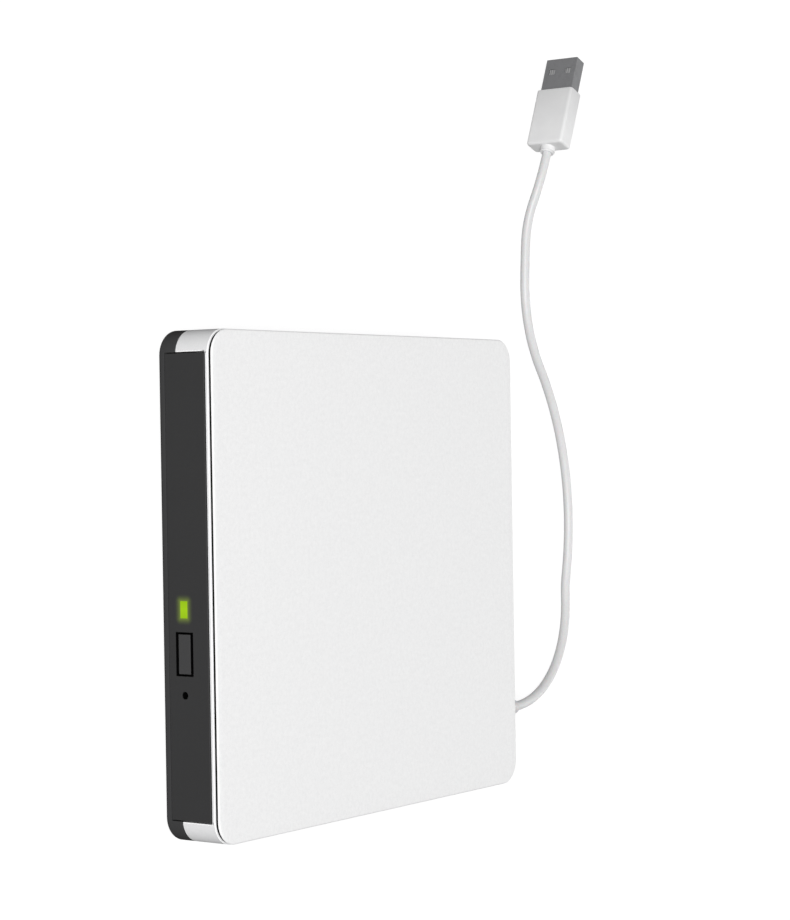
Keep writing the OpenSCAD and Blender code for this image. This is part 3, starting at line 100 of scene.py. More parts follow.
def skin(name, body, rings, cap=(True, True), sharp=SHARP):
    """A closed object from rings[i, j].

    Quads join ring i to ring i + 1, and a cap closes the first and the last ring.
    Edges that turn by more than sharp, in degrees, stay crisp.
    """
    rows, cols = rings.shape[:2]
    i, j = np.meshgrid(np.arange(rows - 1), np.arange(cols), indexing="ij")
    k = (j + 1) % cols
    quads = np.stack([i * cols + j, i * cols + k, (i + 1) * cols + k, (i + 1) * cols + j], -1).reshape(-1, 4)
    ends = [np.arange(cols)[::-1]] * cap[0] + [np.arange(cols) + (rows - 1) * cols] * cap[1]
    mesh = bpy.data.meshes.new(name)
    mesh.from_pydata(rings.reshape(-1, 3).tolist(), [], quads.tolist() + [e.tolist() for e in ends])
    work = bmesh.new()
    work.from_mesh(mesh)
    bmesh.ops.remove_doubles(work, verts=work.verts, dist=SAME_SPOT)
    bmesh.ops.recalc_face_normals(work, faces=work.faces)
    work.to_mesh(mesh)
    work.free()
    mesh.shade_smooth()
    mesh.set_sharp_from_angle(angle=np.radians(sharp))
    piece = bpy.data.objects.new(name, mesh)
    bpy.context.collection.objects.link(piece)
    if body:
        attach(piece, body)
    print(f"{name}: {len(mesh.vertices)} points, {len(mesh.polygons)} faces")
    return piece


# %% [markdown]
# The cord is a thin jacketed lead with a plug on its end. The picture shows all of it, so that is its length.
# It leaves the boot straight, sinks to the table in its first bend, and swings left, right and on to the plug.
# Each bend is an arc that starts along the last heading, so the line is smooth.
# The first bend is slanted, so that it and the settling arc sink together from the boot to the table:
# with s the sine of the slant, drop = swing s + level s^2, which is solved for s.
# Before the plug one arc climbs and the next one levels out again, at the height of the plug's middle.

# %% The cord's route
def arc(start, heading, radius, angle, side, steps):
    """Points start + R (sin a * heading + (1 - cos a) * side) for a from 0 to the angle.

    The heading at the arc's end comes back with them.
    """
    a = np.radians(angle) * np.linspace(0, 1, steps + 1)[1:, None]
    points = start + radius * (np.sin(a) * heading + (1 - np.cos(a)) * side)
    return points, unit(np.cos(a[-1]) * heading + np.sin(a[-1]) * side)


def left_of(heading):
    """The level direction to the left of a heading."""
    return unit(np.array([-heading[1], heading[0], 0.0]))


def above(heading):
    """The upward direction square to a heading."""
    return unit(np.array([0, 0, 1.0]) - heading[2] * heading)


CORD_R, BOOT_TIP, CORD_IN = 1.5, np.array([48.8, 93.0, 7.0]), 66.0
BEND_1, BEND_2, BEND_3, BEND_4 = (41.8, 78.1), (87.4, 48.0), (46.2, 38.1), (199.0, 3.8)
SETTLE_R, RISE_R, RISE_A, PLUG_TURN, HELD_IN_PLUG = 60.0, 40.0, 20.1, 16.0, 7.2
GRIP_W, GRIP_T, GRIP_L, GRIP_R, COLLAR_R, COLLAR_L = 13.8, 6.6, 20.5, 1.0, 2.5, 2.2

drop = BOOT_TIP[2] - CORD_R
swing = BEND_1[0] * (1 - np.cos(np.radians(BEND_1[1])))
level = SETTLE_R * np.sin(np.radians(BEND_1[1])) ** 2 / 2
slant = np.arcsin((-swing + np.sqrt(swing**2 + 4 * level * drop)) / (2 * level))
climb, turn = np.radians([RISE_A, PLUG_TURN])
level_a = np.arccos(np.cos(climb) * np.cos(turn))
level_r = (GRIP_W / 2 - CORD_R - RISE_R * (1 - np.cos(climb))) / (np.sin(climb) * np.tan(level_a / 2))

way = np.array([0, 1.0, 0])
route = [np.linspace([BOOT_TIP[0], CORD_IN, BOOT_TIP[2]], BOOT_TIP, 8)]
sinking = np.cos(slant) * left_of(way) - np.sin(slant) * above(way)
pts, way_1 = arc(BOOT_TIP, way, *BEND_1, sinking, steps=26)
route.append(pts)
pts, way_2 = arc(pts[-1], way_1, SETTLE_R, np.degrees(np.arcsin(-way_1[2])), above(way_1), steps=5)
route.append(pts)
pts, way_3 = arc(pts[-1], way_2, *BEND_2, left_of(way_2), steps=26)
route.append(pts)
pts, way_4 = arc(pts[-1], way_3, *BEND_3, -left_of(way_3), steps=18)
route.append(pts)
pts, way_5 = arc(pts[-1], way_4, *BEND_4, -left_of(way_4), steps=4)
route.append(pts)
pts, way_6 = arc(pts[-1], way_5, RISE_R, RISE_A, above(way_5), steps=10)
route.append(pts)
plug_way = np.cos(turn) * way_5 - np.sin(turn) * left_of(way_5)
levelling = unit(plug_way - np.cos(level_a) * way_6)
pts, plug_way = arc(pts[-1], way_6, level_r, np.degrees(level_a), levelling, steps=10)
route.append(pts)
plug_at = pts[-1]
route.append(np.linspace(plug_at, plug_at + HELD_IN_PLUG * plug_way, 4)[1:])
route = np.concatenate(route)

# %% [markdown]
# The jacket is a round profile carried along that route. At each point the heading and the level direction
# to its left give a plane, and the ring is drawn in that plane, so the tube never twists.

# %% The cord's jacket
def tube(points, radius, sides=24):
    """Rings of one radius round a line: point + R (cos b * left + sin b * up) at each point's own heading."""
    heading = unit(np.gradient(points, axis=0))
    lefts = unit(np.stack([-heading[:, 1], heading[:, 0], np.zeros(len(points))], -1))
    ups = np.cross(heading, lefts)
    b = np.linspace(0, 2 * np.pi, sides, endpoint=False)
    return points[:, None] + radius * (np.cos(b)[:, None] * lefts[:, None] + np.sin(b)[:, None] * ups[:, None])


cord = skin("cord_jacket", "housing", tube(route, CORD_R) * MM)
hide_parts("usb_cable")

# %% [markdown]
# The grip is a moulded block with narrow rounded edges. A round collar with a ring cut in it holds the cord.
# Its sections are rounded rectangles: they start as the collar's circle, step out to the flat shoulder,
# round into the full width, and run straight to the metal. One grid holds all of it.

# %% The plug's grip
def rounded(half_w, half_t, radius, count=96):
    """A rounded rectangle by angle: a quarter circle at each corner, joined by straight sides."""
    a = (np.arange(count) + 0.5) / count * 2 * np.pi
    corner = np.stack([np.sign(np.cos(a)) * (half_w - radius), np.sign(np.sin(a)) * (half_t - radius)], -1)
    return corner + radius * np.stack([np.cos(a), np.sin(a)], -1)


def along_plug(x, thick, wide):
    """A point of the plug from its place along the plug, across its thin side and across its broad side."""
    side, over = left_of(plug_way), above(plug_way)
    return plug_at + x[..., None] * plug_way + thick[..., None] * side + wide[..., None] * over


MOUTH, MOUTH_EDGE, RING_LIP, RING_DEEP = 1.0, 0.3, 0.1, 0.35
RING_0, RING_1, HAIR = 0.3, 0.55, 1e-6
SHOULDER, END_L, END_EDGE, END_FACE = 0.9, 0.25, 0.2, 0.7
quarter = np.linspace(0, np.pi / 2, 7)
grip_end = COLLAR_L + GRIP_L
grip_x = np.concatenate([[0.0, 0.0, RING_0, RING_0, RING_1, RING_1, COLLAR_L],
                         COLLAR_L + SHOULDER * (1 - np.cos(quarter)),
                         [grip_end - END_L, grip_end, grip_end]])
collar = COLLAR_R - np.array([MOUTH, MOUTH_EDGE, RING_LIP, RING_DEEP, RING_DEEP, 0, 0])
inset = np.concatenate([SHOULDER * (1 - np.sin(quarter)), [0, END_EDGE, END_FACE]])
sections = np.stack([rounded(c, c, c - HAIR) for c in collar]
                    + [rounded(GRIP_W / 2 - d, GRIP_T / 2 - d, GRIP_R) for d in inset])
grip_rings = along_plug(np.repeat(grip_x[:, None], sections.shape[1], 1), sections[..., 1], sections[..., 0])
grip = skin("plug_moulding", "housing", grip_rings * MM, sharp=50)
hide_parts("plug_grip")

# %% [markdown]
# The boot is a soft cone with rings cut in it, so that it bends with the cord.
# It is a profile turned about the cord: the radius falls along the cone and dips at each groove.

# %% The cord's boot
def turned(centre, axis, profile, sides=64):
    """A profile of (along, radius) turned about an axis.

    Its points are centre + along * axis + radius (cos b * e1 + sin b * e2), with e1 and e2 square to the axis.
    """
    e1 = unit(np.cross(axis, [0.0, 0.0, 1.0] if abs(axis[2]) < 0.9 else [1.0, 0.0, 0.0]))
    e2 = np.cross(axis, e1)
    b = np.linspace(0, 2 * np.pi, sides, endpoint=False)[:, None]
    ring = np.cos(b) * e1 + np.sin(b) * e2
    return centre + profile[:, None, :1] * axis + profile[:, None, 1:] * ring


BACK, BOOT_L, BOOT_R0, BOOT_R1, NECK_R, BORE_R = 74.0, 19.0, 3.4, 2.3, 2.4, CORD_R + 0.05
FLANGE_0, FLANGE_1, FLANGE_R, FOOT, TIP_L = -3.6, -2.0, NECK_R + 1.2, 0.3, 0.35
GROOVE_0, GROOVE_PITCH, GROOVES, GROOVE_DEEP, GROOVE_HALF = 4.0, 2.6, 5, 0.55, 0.2
run = np.linspace(0, BOOT_L - TIP_L, 220)
cone = BOOT_R0 + (BOOT_R1 - BOOT_R0) * run / BOOT_L
phase = (run - GROOVE_0) / GROOVE_PITCH
dip = np.clip(1 - np.abs((phase % 1) - 0.5) / GROOVE_HALF, 0, 1) ** 0.5
groove = GROOVE_DEEP * dip * ((phase > 0) & (phase < GROOVES))
flange = [[FLANGE_0, BORE_R], [FLANGE_0, FLANGE_R], [FLANGE_1, FLANGE_R], [FLANGE_1, NECK_R], [0, NECK_R]]
round_tip = [[BOOT_L - 0.1, BOOT_R1 - 0.15], [BOOT_L, BOOT_R1 - 0.45], [BOOT_L, BORE_R]]
boot_profile = np.concatenate(
    [flange, np.stack([run, cone - groove - FOOT * np.clip(1 - run / FOOT, 0, 1)], -1), round_tip])
boot_at = np.array([BOOT_TIP[0], BACK, BOOT_TIP[2]])
boot = skin("cord_boot", "housing", turned(boot_at, np.array([0, 1.0, 0]), boot_profile) * MM,
            cap=(False, False), sharp=40)
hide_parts("cable_boot")

# %% [markdown]
# The cover is a thin lacquered sheet. Its edge carries a narrow chamfer that catches the light as a white line,
# and real chamfers are never knife sharp, so each of its two arrises is rounded a little.
# The plan is a rounded rectangle, and the edge's profile says how far each ring lies inside it and how high.

# %% The top cover
def plate(name, body, half_w, half_d, radius, profile, count=224):
    """A flat plate: ring i is the plan drawn in by profile[i, 0], at the height profile[i, 1]."""
    rings = [np.column_stack([rounded(half_w - d, half_d - d, radius - d, count), np.full(count, z)])
             for d, z in profile]
    return skin(name, body, np.stack(rings) * MM, sharp=25)


cover_low, cover_top = (np.array(c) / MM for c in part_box("top_cover"))
z0, z1 = cover_low[2], cover_top[2]
COVER_R = 6.9
lower_arris, flat_top = [[0.05, z0], [0, z0 + 0.05]], [[0.44, z1], [2.5, z1]]
chamfer = [[0, z1 - 0.34], [0.03, z1 - 0.28], [0.27, z1 - 0.05], [0.34, z1 - 0.015]]
cover_edge = np.array(lower_arris + chamfer + flat_top)
cover = plate("cover_sheet", "housing", cover_top[0], cover_top[1], COVER_R, cover_edge)
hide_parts("top_cover")

# %% [markdown]
# Moulded and bent pieces never have knife edges, and an eased edge is what draws a bright line round a piece.
# A solid's mesh is loose triangles, so a copy is merged, its flat faces are joined again,
# and a Bevel rounds only the edges that are sharp. The copy then stands for the solid.

# %% Eased edges
SAME_POINT, SAME_PLANE = 2e-6, np.radians(0.4)


def eased(name, body, width_mm, segments=2, own_edge=False):
    """A copy of a solid with every edge that is sharper than SHARP rounded by a width.

    With own_edge the rounding wears a second finish.
    """
    mesh = solid[name].data.copy()
    work = bmesh.new()
    work.from_mesh(mesh)
    bmesh.ops.remove_doubles(work, verts=work.verts, dist=SAME_POINT)
    bmesh.ops.dissolve_limit(work, angle_limit=SAME_PLANE, verts=work.verts, edges=work.edges)
    work.to_mesh(mesh)
    work.free()
    if "custom_normal" in mesh.attributes:
        mesh.attributes.remove(mesh.attributes["custom_normal"])
    mesh.shade_smooth()
    mesh.set_sharp_from_angle(angle=np.radians(SHARP))
    piece = bpy.data.objects.new(name + "_eased", mesh)
    bpy.context.collection.objects.link(piece)
    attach(piece, body)
    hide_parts(name)
    bevel = piece.modifiers.new("eased edges", "BEVEL")
    bevel.width, bevel.segments = width_mm * MM, segments
    bevel.material = 1 if own_edge else -1
    bevel.limit_method, bevel.angle_limit = "ANGLE", np.radians(SHARP)
    bevel.harden_normals, bevel.use_clamp_overlap, bevel.miter_outer = True, False, "MITER_ARC"
    print(f"{name}: {len(mesh.polygons)} faces eased by {width_mm} mm")
    return piece


silver_frame = eased("upper_frame", "housing", 0.32, own_edge=True)
bottom = eased("bottom_shell", "housing", 0.1)
bezel = eased("front_bezel", "tray", 0.06)
button = eased("eject_button", "button", 0.12)
tray = eased("tray_base", "tray", 0.15)
plug_can = eased("plug_shell", "housing", 0.1)
feet = eased("rubber_feet", "housing", 0.3, 3)
platter = eased("turntable", "spindle", 0.12)
rotor = eased("spindle_rotor", "spindle", 0.15)
carriage = eased("pickup_base", "pickup", 0.12)
carriage_cover = eased("pickup_cover", "pickup", 0.06)
lens_mount = eased("lens_holder", "lens", 0.12)
(route * MM).tolist()

# %% [markdown]
# The lens is a small moulded bead that stands a little proud of its mount. Light is bent by its curve,
# so the curve has to be there: a flat rim, then a dome whose height falls with the square of the radius.

# %% The lens
lens_lo, lens_hi = (np.array(c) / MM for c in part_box("objective_lens"))
lens_mid, lens_r = (lens_lo + lens_hi) / 2, (lens_hi[0] - lens_lo[0]) / 2
DOME, DOME_SHARE, RIM_EDGE, POLE_R = 0.28, 0.86, 0.04, 0.3
share = np.linspace(1, 0.02, 16)
dome = np.column_stack([lens_hi[2] - DOME * share**2, DOME_SHARE * lens_r * share])
rim_z = lens_hi[2] - DOME
flat_rim = [[lens_lo[2], POLE_R], [lens_lo[2], lens_r], [rim_z - RIM_EDGE, lens_r], [rim_z, lens_r - RIM_EDGE]]
bead_profile = np.concatenate([flat_rim, dome])
bead_at = np.array([lens_mid[0], lens_mid[1], 0])
bead = skin("lens_bead", "lens", turned(bead_at, np.array([0, 0, 1.0]), bead_profile, 48) * MM, sharp=40)
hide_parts("objective_lens")

# %% [markdown]
# A flat ribbon joins the drive's board to the tray's board. It lies on the floor of the can and folds back
# under the tray. Its lower run belongs with the case and its upper run with the tray, and the line of a blend
# between the two bodies is worked out, though the strip itself is not blended and stays as it is drawn. That
# line leans, so that the ramp to the drive's socket counts as low.

# %% The ribbon
film_lo, film_hi = (np.array(c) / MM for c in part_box("flex_ribbon"))
board_lo, board_hi = (np.array(c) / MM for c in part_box("drive_board"))
FILM_T, SOCKET_UP, SOCKET_END, MARGIN = 0.16, 0.8, 19.0, 0.2
RAMP_0, RAMP_L, FLAT_0, FOLD_GAP, RUN_POINTS = 2, 6, 10, 1, 30
socket_z = board_hi[2] + SOCKET_UP
low_z, high_z = film_lo[2] + FILM_T / 2, film_hi[2] - FILM_T / 2
fold_r = (high_z - low_z) / 2
fold_y = film_lo[1] + fold_r + FILM_T / 2


def eased_step(u):
    """The smooth step 3 u^2 - 2 u^3 from 0 to 1."""
    return u * u * (3 - 2 * u)


down = np.linspace(0, 1, 24)
half = np.linspace(0, np.pi, 60)
film_line = np.concatenate([
    [[film_hi[1], socket_z]],
    np.column_stack([board_lo[1] - RAMP_0 - RAMP_L * down, socket_z + (low_z - socket_z) * eased_step(down)]),
    np.linspace([board_lo[1] - FLAT_0, low_z], [fold_y + FOLD_GAP, low_z], RUN_POINTS),
    np.column_stack([fold_y - fold_r * np.sin(half), low_z + fold_r * (1 - np.cos(half))]),
    np.linspace([fold_y + FOLD_GAP, high_z], [SOCKET_END, high_z], RUN_POINTS)])
forward = unit(np.gradient(film_line, axis=0))
normal = np.stack([-forward[:, 1], forward[:, 0]], -1)
width_at = np.array([film_lo[0], film_hi[0], film_hi[0], film_lo[0]])
film_rings = np.stack([np.column_stack([np.full(len(film_line), x), film_line + h * FILM_T / 2 * normal])
                       for x, h in zip(width_at, (-1, -1, 1, 1))], 1)
ribbon = skin("ribbon_strip", None, film_rings * MM)
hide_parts("flex_ribbon")
slope = (socket_z - low_z + MARGIN) / (film_hi[1] - fold_y)
grade = np.array([0, -slope, 1.0]) / (high_z - low_z - slope * (SOCKET_END - fold_y) - MARGIN)
blend_from = np.array([film_lo[0], fold_y, low_z + MARGIN / 2])
blend_to = blend_from + grade / (grade @ grade)
(blend_to * MM).tolist()
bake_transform(ribbon)
print(f"ribbon: fold radius {fold_r:.2f} mm at Y {fold_y:.1f}, strip {len(film_line)} points long")

# %% [markdown]
# The lead screw drives the pickup. A solid rod stands for it in the model, and here it gets its thread:
# the radius is a ridge whose phase advances with the angle, so a grid of angle and length winds a helix.

# %% The lead screw's thread
TRAV = np.radians(225)
DISC = np.array([0, -8.0, 0])
along = np.array([np.cos(TRAV), np.sin(TRAV), 0])
beside = np.array([-np.sin(TRAV), np.cos(TRAV), 0])
LEAD_LAT, LEAD_R, LEAD, ROD_Z, JOURNAL_R = 18.5, 1.2, 3.0, 6.6, 0.55
SCREW_0, SCREW_1, JOURNAL_0, JOURNAL_1 = 14.35, 60.25, 9.8, 61.2
THREAD_DEEP, CREST, FLANK, RUN_OUT, RUN_OUT_SHARE = 0.34, 0.45, 0.4, 0.5, 0.55

s = np.linspace(SCREW_0, SCREW_1, 460)
b = np.linspace(0, 2 * np.pi, 40, endpoint=False)
ridge = np.abs(((b[None] / (2 * np.pi) - s[:, None] / LEAD) % 1) - 0.5) * 2
thread_r = LEAD_R - THREAD_DEEP * np.clip((ridge - CREST) / FLANK, 0, 1)
ends = np.clip(np.minimum(s - SCREW_0, SCREW_1 - s) / RUN_OUT, 0, 1)[:, None]
thread_r = JOURNAL_R + (thread_r - JOURNAL_R) * (RUN_OUT_SHARE + (1 - RUN_OUT_SHARE) * ends)
place = np.concatenate([[JOURNAL_0], s[:1], s, s[-1:], [JOURNAL_1]])
journal = np.full((2, len(b)), JOURNAL_R)
size = np.concatenate([journal, thread_r, journal])
screw_at = DISC + LEAD_LAT * beside + [0, 0, ROD_Z]
spoke = np.cos(b)[None, :, None] * beside + np.sin(b)[None, :, None] * np.array([0, 0, 1.0])
screw_rings = screw_at + place[:, None, None] * along + size[..., None] * spoke
thread = skin("lead_thread", "lead", screw_rings * MM, sharp=40)
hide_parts("lead_screw")

# %% [markdown]
# Shader sums read best as plain arithmetic, so one small class wraps a node's output and gives it operators.
# Finish is a material with one method that adds any node: settings first, then values or links.
# Patterns sit on Object coordinates, which are metres here, so a grain of 0.2 mm is a noise of scale 5000.

# %% Materials as arithmetic
class Wire:
    """A node's output. Each operator adds one Math node and gives its output."""

    def __init__(self, finish, socket):
        self.finish, self.socket = finish, socket

    def math(self, operation, *terms):
        return self.finish.node("ShaderNodeMath", {"operation": operation}, dict(enumerate(terms)))["Value"]

    def __add__(self, other):
        return self.math("ADD", self, other)

    def __mul__(self, other):
        return self.math("MULTIPLY", self, other)

    def __sub__(self, other):
        return self.math("SUBTRACT", self, other)

    def __rsub__(self, other):
        return self.math("SUBTRACT", other, self)

    def __pow__(self, other):
        return self.math("POWER", self, other)

    __radd__, __rmul__ = __add__, __mul__

    def clip(self):
        return self.finish.node("ShaderNodeClamp", {}, {"Value": self})["Result"]

    def larger(self, other):
        return self.math("MAXIMUM", self, other)

    def over(self, level):
        return self.math("GREATER_THAN", self, level)

    def size(self):
        return self.math("ABSOLUTE", self)


class Finish:
    """One procedural material. Its keyword numbers go on the shader's own sockets."""

    def __init__(self, name, **sockets):
        self.material = bpy.data.materials.new(name)
        self.material.use_nodes = True
        self.tree = self.material.node_tree
        self.shader = self.tree.nodes["Principled BSDF"]
        self.place = self.node("ShaderNodeTexCoord")["Object"]
        self.set(**{k.replace("_", " ").title(): v for k, v in sockets.items()})

    def put(self, socket, value):
        if isinstance(value, Wire):
            self.tree.links.new(value.socket, socket)
        else:
            socket.default_value = (*value, 1.0) if socket.type == "RGBA" and len(value) == 3 else value

    def node(self, kind, settings=None, sockets=None):
        made = self.tree.nodes.new(kind)
        for key, value in (settings or {}).items():
            setattr(made, key, value)
        live = [i for i in made.inputs if i.enabled]
        for key, value in (sockets or {}).items():
            self.put(live[key] if isinstance(key, int) else next(i for i in live if i.name == key), value)
        return {o.name: Wire(self, o) for o in made.outputs if o.enabled}

    def set(self, **sockets):
        for key, value in sockets.items():
            self.put(self.shader.inputs[key], value)

    def mix(self, amount, first, second):
        ends = {"Factor": amount, "A": first, "B": second}
        return self.node("ShaderNodeMix", {"data_type": "RGBA"}, ends)["Result"]

    def coat(self, amount, low, high, rough):
        """The colour runs from low to high with an amount, and the roughness follows its own wire."""
        colour = self.mix(amount, low, high)
        self.set(**{"Base Color": colour, "Roughness": rough})
        return colour

    def grain(self, millimetres, detail=2.0, stretch=(1, 1, 1)):
        spot = self.node("ShaderNodeMapping", {}, {"Vector": self.place, "Scale": stretch})["Vector"]
        noise = {"Vector": spot, "Scale": 1000 / millimetres, "Detail": detail}
        return self.node("ShaderNodeTexNoise", {}, noise)["Fac"]

    def cells(self, millimetres, feature="F1", metric="EUCLIDEAN"):
        return self.node("ShaderNodeTexVoronoi", {"feature": feature, "distance": metric},
                         {"Vector": self.place, "Scale": 1000 / millimetres})

    def axis(self):
        return self.node("ShaderNodeSeparateXYZ", {}, {0: self.place})

    def stripes(self, along, millimetres, start, steep):
        """Bands across a coordinate: a wave of straight rises and falls, cut at a start and made steep."""
        count = along * (1 / (millimetres * MM))
        wave = count.math("PINGPONG", count, 1.0)
        return ((wave - start) * steep).clip()

    def seen(self):
        """One for rays from the camera, off a mirror or through glass, and nought for the rest."""
        rays = self.node("ShaderNodeLightPath")
        return (rays["Is Camera Ray"] + rays["Is Glossy Ray"] + rays["Is Transmission Ray"]).clip()

    def relief(self, height, depth_mm, strength=1.0):
        bump = {"Strength": strength, "Distance": depth_mm * MM, "Height": height}
        self.set(Normal=self.node("ShaderNodeBump", {}, bump)["Normal"])


def dress(finish, *names, edge=None):
    """Gives a finish to solids by name, or to new pieces, and a second one to their eased edges."""
    for name in names:
        piece = solid[name] if isinstance(name, str) else name
        piece.data.materials.clear()
        for worn in [finish, edge] if edge else [finish]:
            piece.data.materials.append(worn.material)
    print(f"{finish.material.name}: dressed {len(names)}")


# %% [markdown]
# The cover is white lacquer over a fine sparkle: seen close, it is a very fine, even speckle,
# and from a step away it is just a soft white. Two noises of 1.1 and 0.4 mm do it, with a low contrast.
# The frame is silver paint over plastic, and its edges were cut bright afterwards, so the rounding has
# its own finish.

# %% Cover, frame and shell
lacquer = Finish("white_lacquer")
lacquer.set(**{"Specular IOR Level": 0.1})
speck = lacquer.grain(1.1, 1.0)
dust = lacquer.grain(0.4, 0.0)
tone = (speck - 0.5) * 0.9 + (dust - 0.5) * 0.7 + 0.5
lacquer.coat(tone.clip(), (0.85, 0.85, 0.853), (0.95, 0.95, 0.95), 0.42 + 0.1 * dust)
lacquer.relief(speck + 0.5 * dust, 0.012, 0.5)
dress(lacquer, cover)

silver = Finish("silver_paint")
silver.set(**{"Specular IOR Level": 0.0})
flake = silver.grain(0.22, 1.0)
cloud = silver.grain(9, 2.0)
paint = (flake * 0.8 + cloud * 0.2).clip()
silver.coat(paint, (0.72, 0.722, 0.728), (0.88, 0.88, 0.885), 0.3 + 0.12 * flake)
silver.relief(flake, 0.008, 0.6)
cut_edge = Finish("bright_cut_edge", metallic=1.0)
mill = cut_edge.grain(0.3, 1.0)
cut_edge.coat(mill, (0.9, 0.9, 0.905), (0.97, 0.97, 0.97), 0.24 + 0.12 * mill)
dress(silver, silver_frame, edge=cut_edge)


def spark_black(name, low, high, rough, depth=0.02, size=0.28, gloss=0.06):
    """Moulded black plastic: the mould was spark eroded, so the skin is a fine even grain.

    The colour is kept as its tone, so that a later step can paint shade over a part of it.
    """
    made = Finish(name)
    made.set(**{"Specular IOR Level": gloss})
    pits = made.grain(size, 2.0)
    flow = made.grain(14, 2.0)
    made.tone = made.coat((pits * 0.7 + flow * 0.3).clip(), (low,) * 3, (high, high, high * 1.03),
                          rough + 0.14 * (pits - 0.5) + 0.06 * (flow - 0.5))
    made.relief(pits, depth, 0.7)
    return made


shell_black = spark_black("shell_plastic", 0.046, 0.063, 0.5, gloss=0.0)
dress(shell_black, bottom)

# %% [markdown]
# The bezel is the same kind of plastic. A green light shines through its window, and the plastic round it
# is given a faint green emission: a painted glow of the lamp's light, which falls off with the distance
# from the window's edge. What X and Z have beyond the window's half sizes are the two sides of that distance.
# from the window's edge. What X and Z have beyond the window's half sizes are the two sides of that distance.

# %% Bezel, button and light
bezel_black = spark_black("bezel_plastic", 0.031, 0.043, 0.46)
lamp_lo, lamp_hi = (np.array(c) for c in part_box("led_lens"))
lamp_x = float((lamp_lo + lamp_hi)[0] / 2)
WINDOW_Z, WINDOW_W, WINDOW_H = 8.8 * MM, 2.3 * MM, 1.2 * MM
PAINTED_GLOW_REACH, PAINTED_GLOW_FALL, CORE_REACH = 2.2 * MM, 2.2, 2.6 * MM
xyz = bezel_black.axis()
away_x = ((xyz["X"] - lamp_x).size() - WINDOW_W).larger(0.0)
away_z = ((xyz["Z"] - WINDOW_Z).size() - WINDOW_H).larger(0.0)
away = (away_x ** 2 + away_z ** 2) ** 0.5
# Painted glow: green emission on the bezel round the window, standing in for the lamp's light on the plastic.
painted_glow = (1 - away * (1 / PAINTED_GLOW_REACH)).larger(0.0) ** PAINTED_GLOW_FALL
painted_glow_colour = bezel_black.mix(painted_glow, (0, 0, 0), (0.14, 0.2, 0.01))
bezel_black.set(**{"Emission Color": painted_glow_colour, "Emission Strength": 1.0})
dress(bezel_black, bezel)
button_black = spark_black("button_plastic", 0.047, 0.061, 0.42)
dress(button_black, button)

lit_pipe = Finish("lit_light_pipe", roughness=0.5, base_color=(0.02, 0.03, 0.004))
lit_pipe.set(**{"Specular IOR Level": 0.05})
core = (1 - (lit_pipe.axis()["X"] - lamp_x).size() * (1 / CORE_REACH)).larger(0.0) ** 0.5
shine = lit_pipe.mix(core, (0.25, 0.46, 0.004), (0.335, 0.57, 0.008))
lit_pipe.set(**{"Emission Color": shine, "Emission Strength": 1.0})
dress(lit_pipe, "led_lens")

# %% [markdown]
# Only the front faces carry the mould's grain. Behind them the walls of the openings are painted near black:
# painted shade for the deep, narrow gaps. That draws the outline round the button and the dot of the
# release hole. A box of three limits finds those walls: behind the face, and within the width and height
# of the openings.

# %% Painted shade on the walls of the openings
def within(place, low, high):
    """One between two limits along a coordinate, nought outside: the middle is nearer than half the width."""
    return (float((high - low) / 2) - (place - float((low + high) / 2)).size()).over(0.0)


button_lo, button_hi = (np.array(c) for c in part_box("eject_button"))
FACE, AROUND, HOLE_SIDE, DEEP = 0.2 * MM, 1.6 * MM, 8.0 * MM, 9.0 * MM
for finish, node, reach in ((bezel_black, "front_bezel", HOLE_SIDE), (button_black, "eject_button", AROUND)):
    xyz = finish.axis()
    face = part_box(node)[0][1] + FACE
    gap_shade_mask = (within(xyz["X"], button_lo[0] - AROUND, button_hi[0] + reach) * within(xyz["Y"], face, face + DEEP)
            * within(xyz["Z"], button_lo[2] - AROUND, button_hi[2] + AROUND))
    # Inside the box the colour goes near black: painted shade of the narrow gaps.
    finish.set(**{"Base Color": finish.mix(gap_shade_mask, finish.tone, (0.002, 0.002, 0.002))})
print("openings darkened behind Y", np.round(face / MM, 2), "mm")

# %% [markdown]
# Cord, boot and grip are soft white thermoplastic. The jacket has a faint peel, the grip a finer satin.
# A touch of scatter below the jacket's skin keeps its shadow side from going grey.
# The plug's shell is nickel, and its two windows show a ribbed tongue.

# %% Cord, boot and plug
jacket = Finish("cord_jacket_white", subsurface_weight=0.08, subsurface_scale=0.001)
peel = jacket.grain(0.6, 2.0)
jacket.coat(peel, (0.64, 0.64, 0.645), (0.74, 0.74, 0.74), 0.36 + 0.14 * peel)
jacket.relief(peel, 0.02, 0.4)
dress(jacket, cord, boot)

moulded_white = Finish("grip_plastic_white")
satin = moulded_white.grain(0.2, 1.0)
blush = moulded_white.grain(6, 2.0)
moulded_white.coat(blush, (0.8, 0.8, 0.803), (0.88, 0.88, 0.88), 0.34 + 0.14 * satin)
moulded_white.relief(satin, 0.01, 0.5)
dress(moulded_white, grip)

tongue_grey = Finish("tongue_plastic")
ribs = tongue_grey.stripes(tongue_grey.axis()["Z"], 0.42, 0.35, 4.0)
tongue_grey.coat(ribs, (0.17, 0.17, 0.172), (0.36, 0.36, 0.362), 0.4 + 0.1 * ribs)
dress(tongue_grey, "plug_tongue")


def sheet_metal(name, low, high, rough, spangle=5.0, stretch=(1, 1, 1)):
    """Rolled metal: large soft crystals in the plating, and a fine drawn grain over them."""
    made = Finish(name, metallic=1.0)
    crystal = made.cells(spangle)["Color"]
    tint = made.node("ShaderNodeSeparateColor", {}, {0: crystal})["Red"]
    drawn = made.grain(0.35, 2.0, stretch)
    made.coat((tint * 0.2 + drawn * 0.8).clip(), low, high, rough + 0.05 * (tint - 0.5) + 0.16 * (drawn - 0.5))
    made.relief(drawn, 0.006, 0.5)
    return made


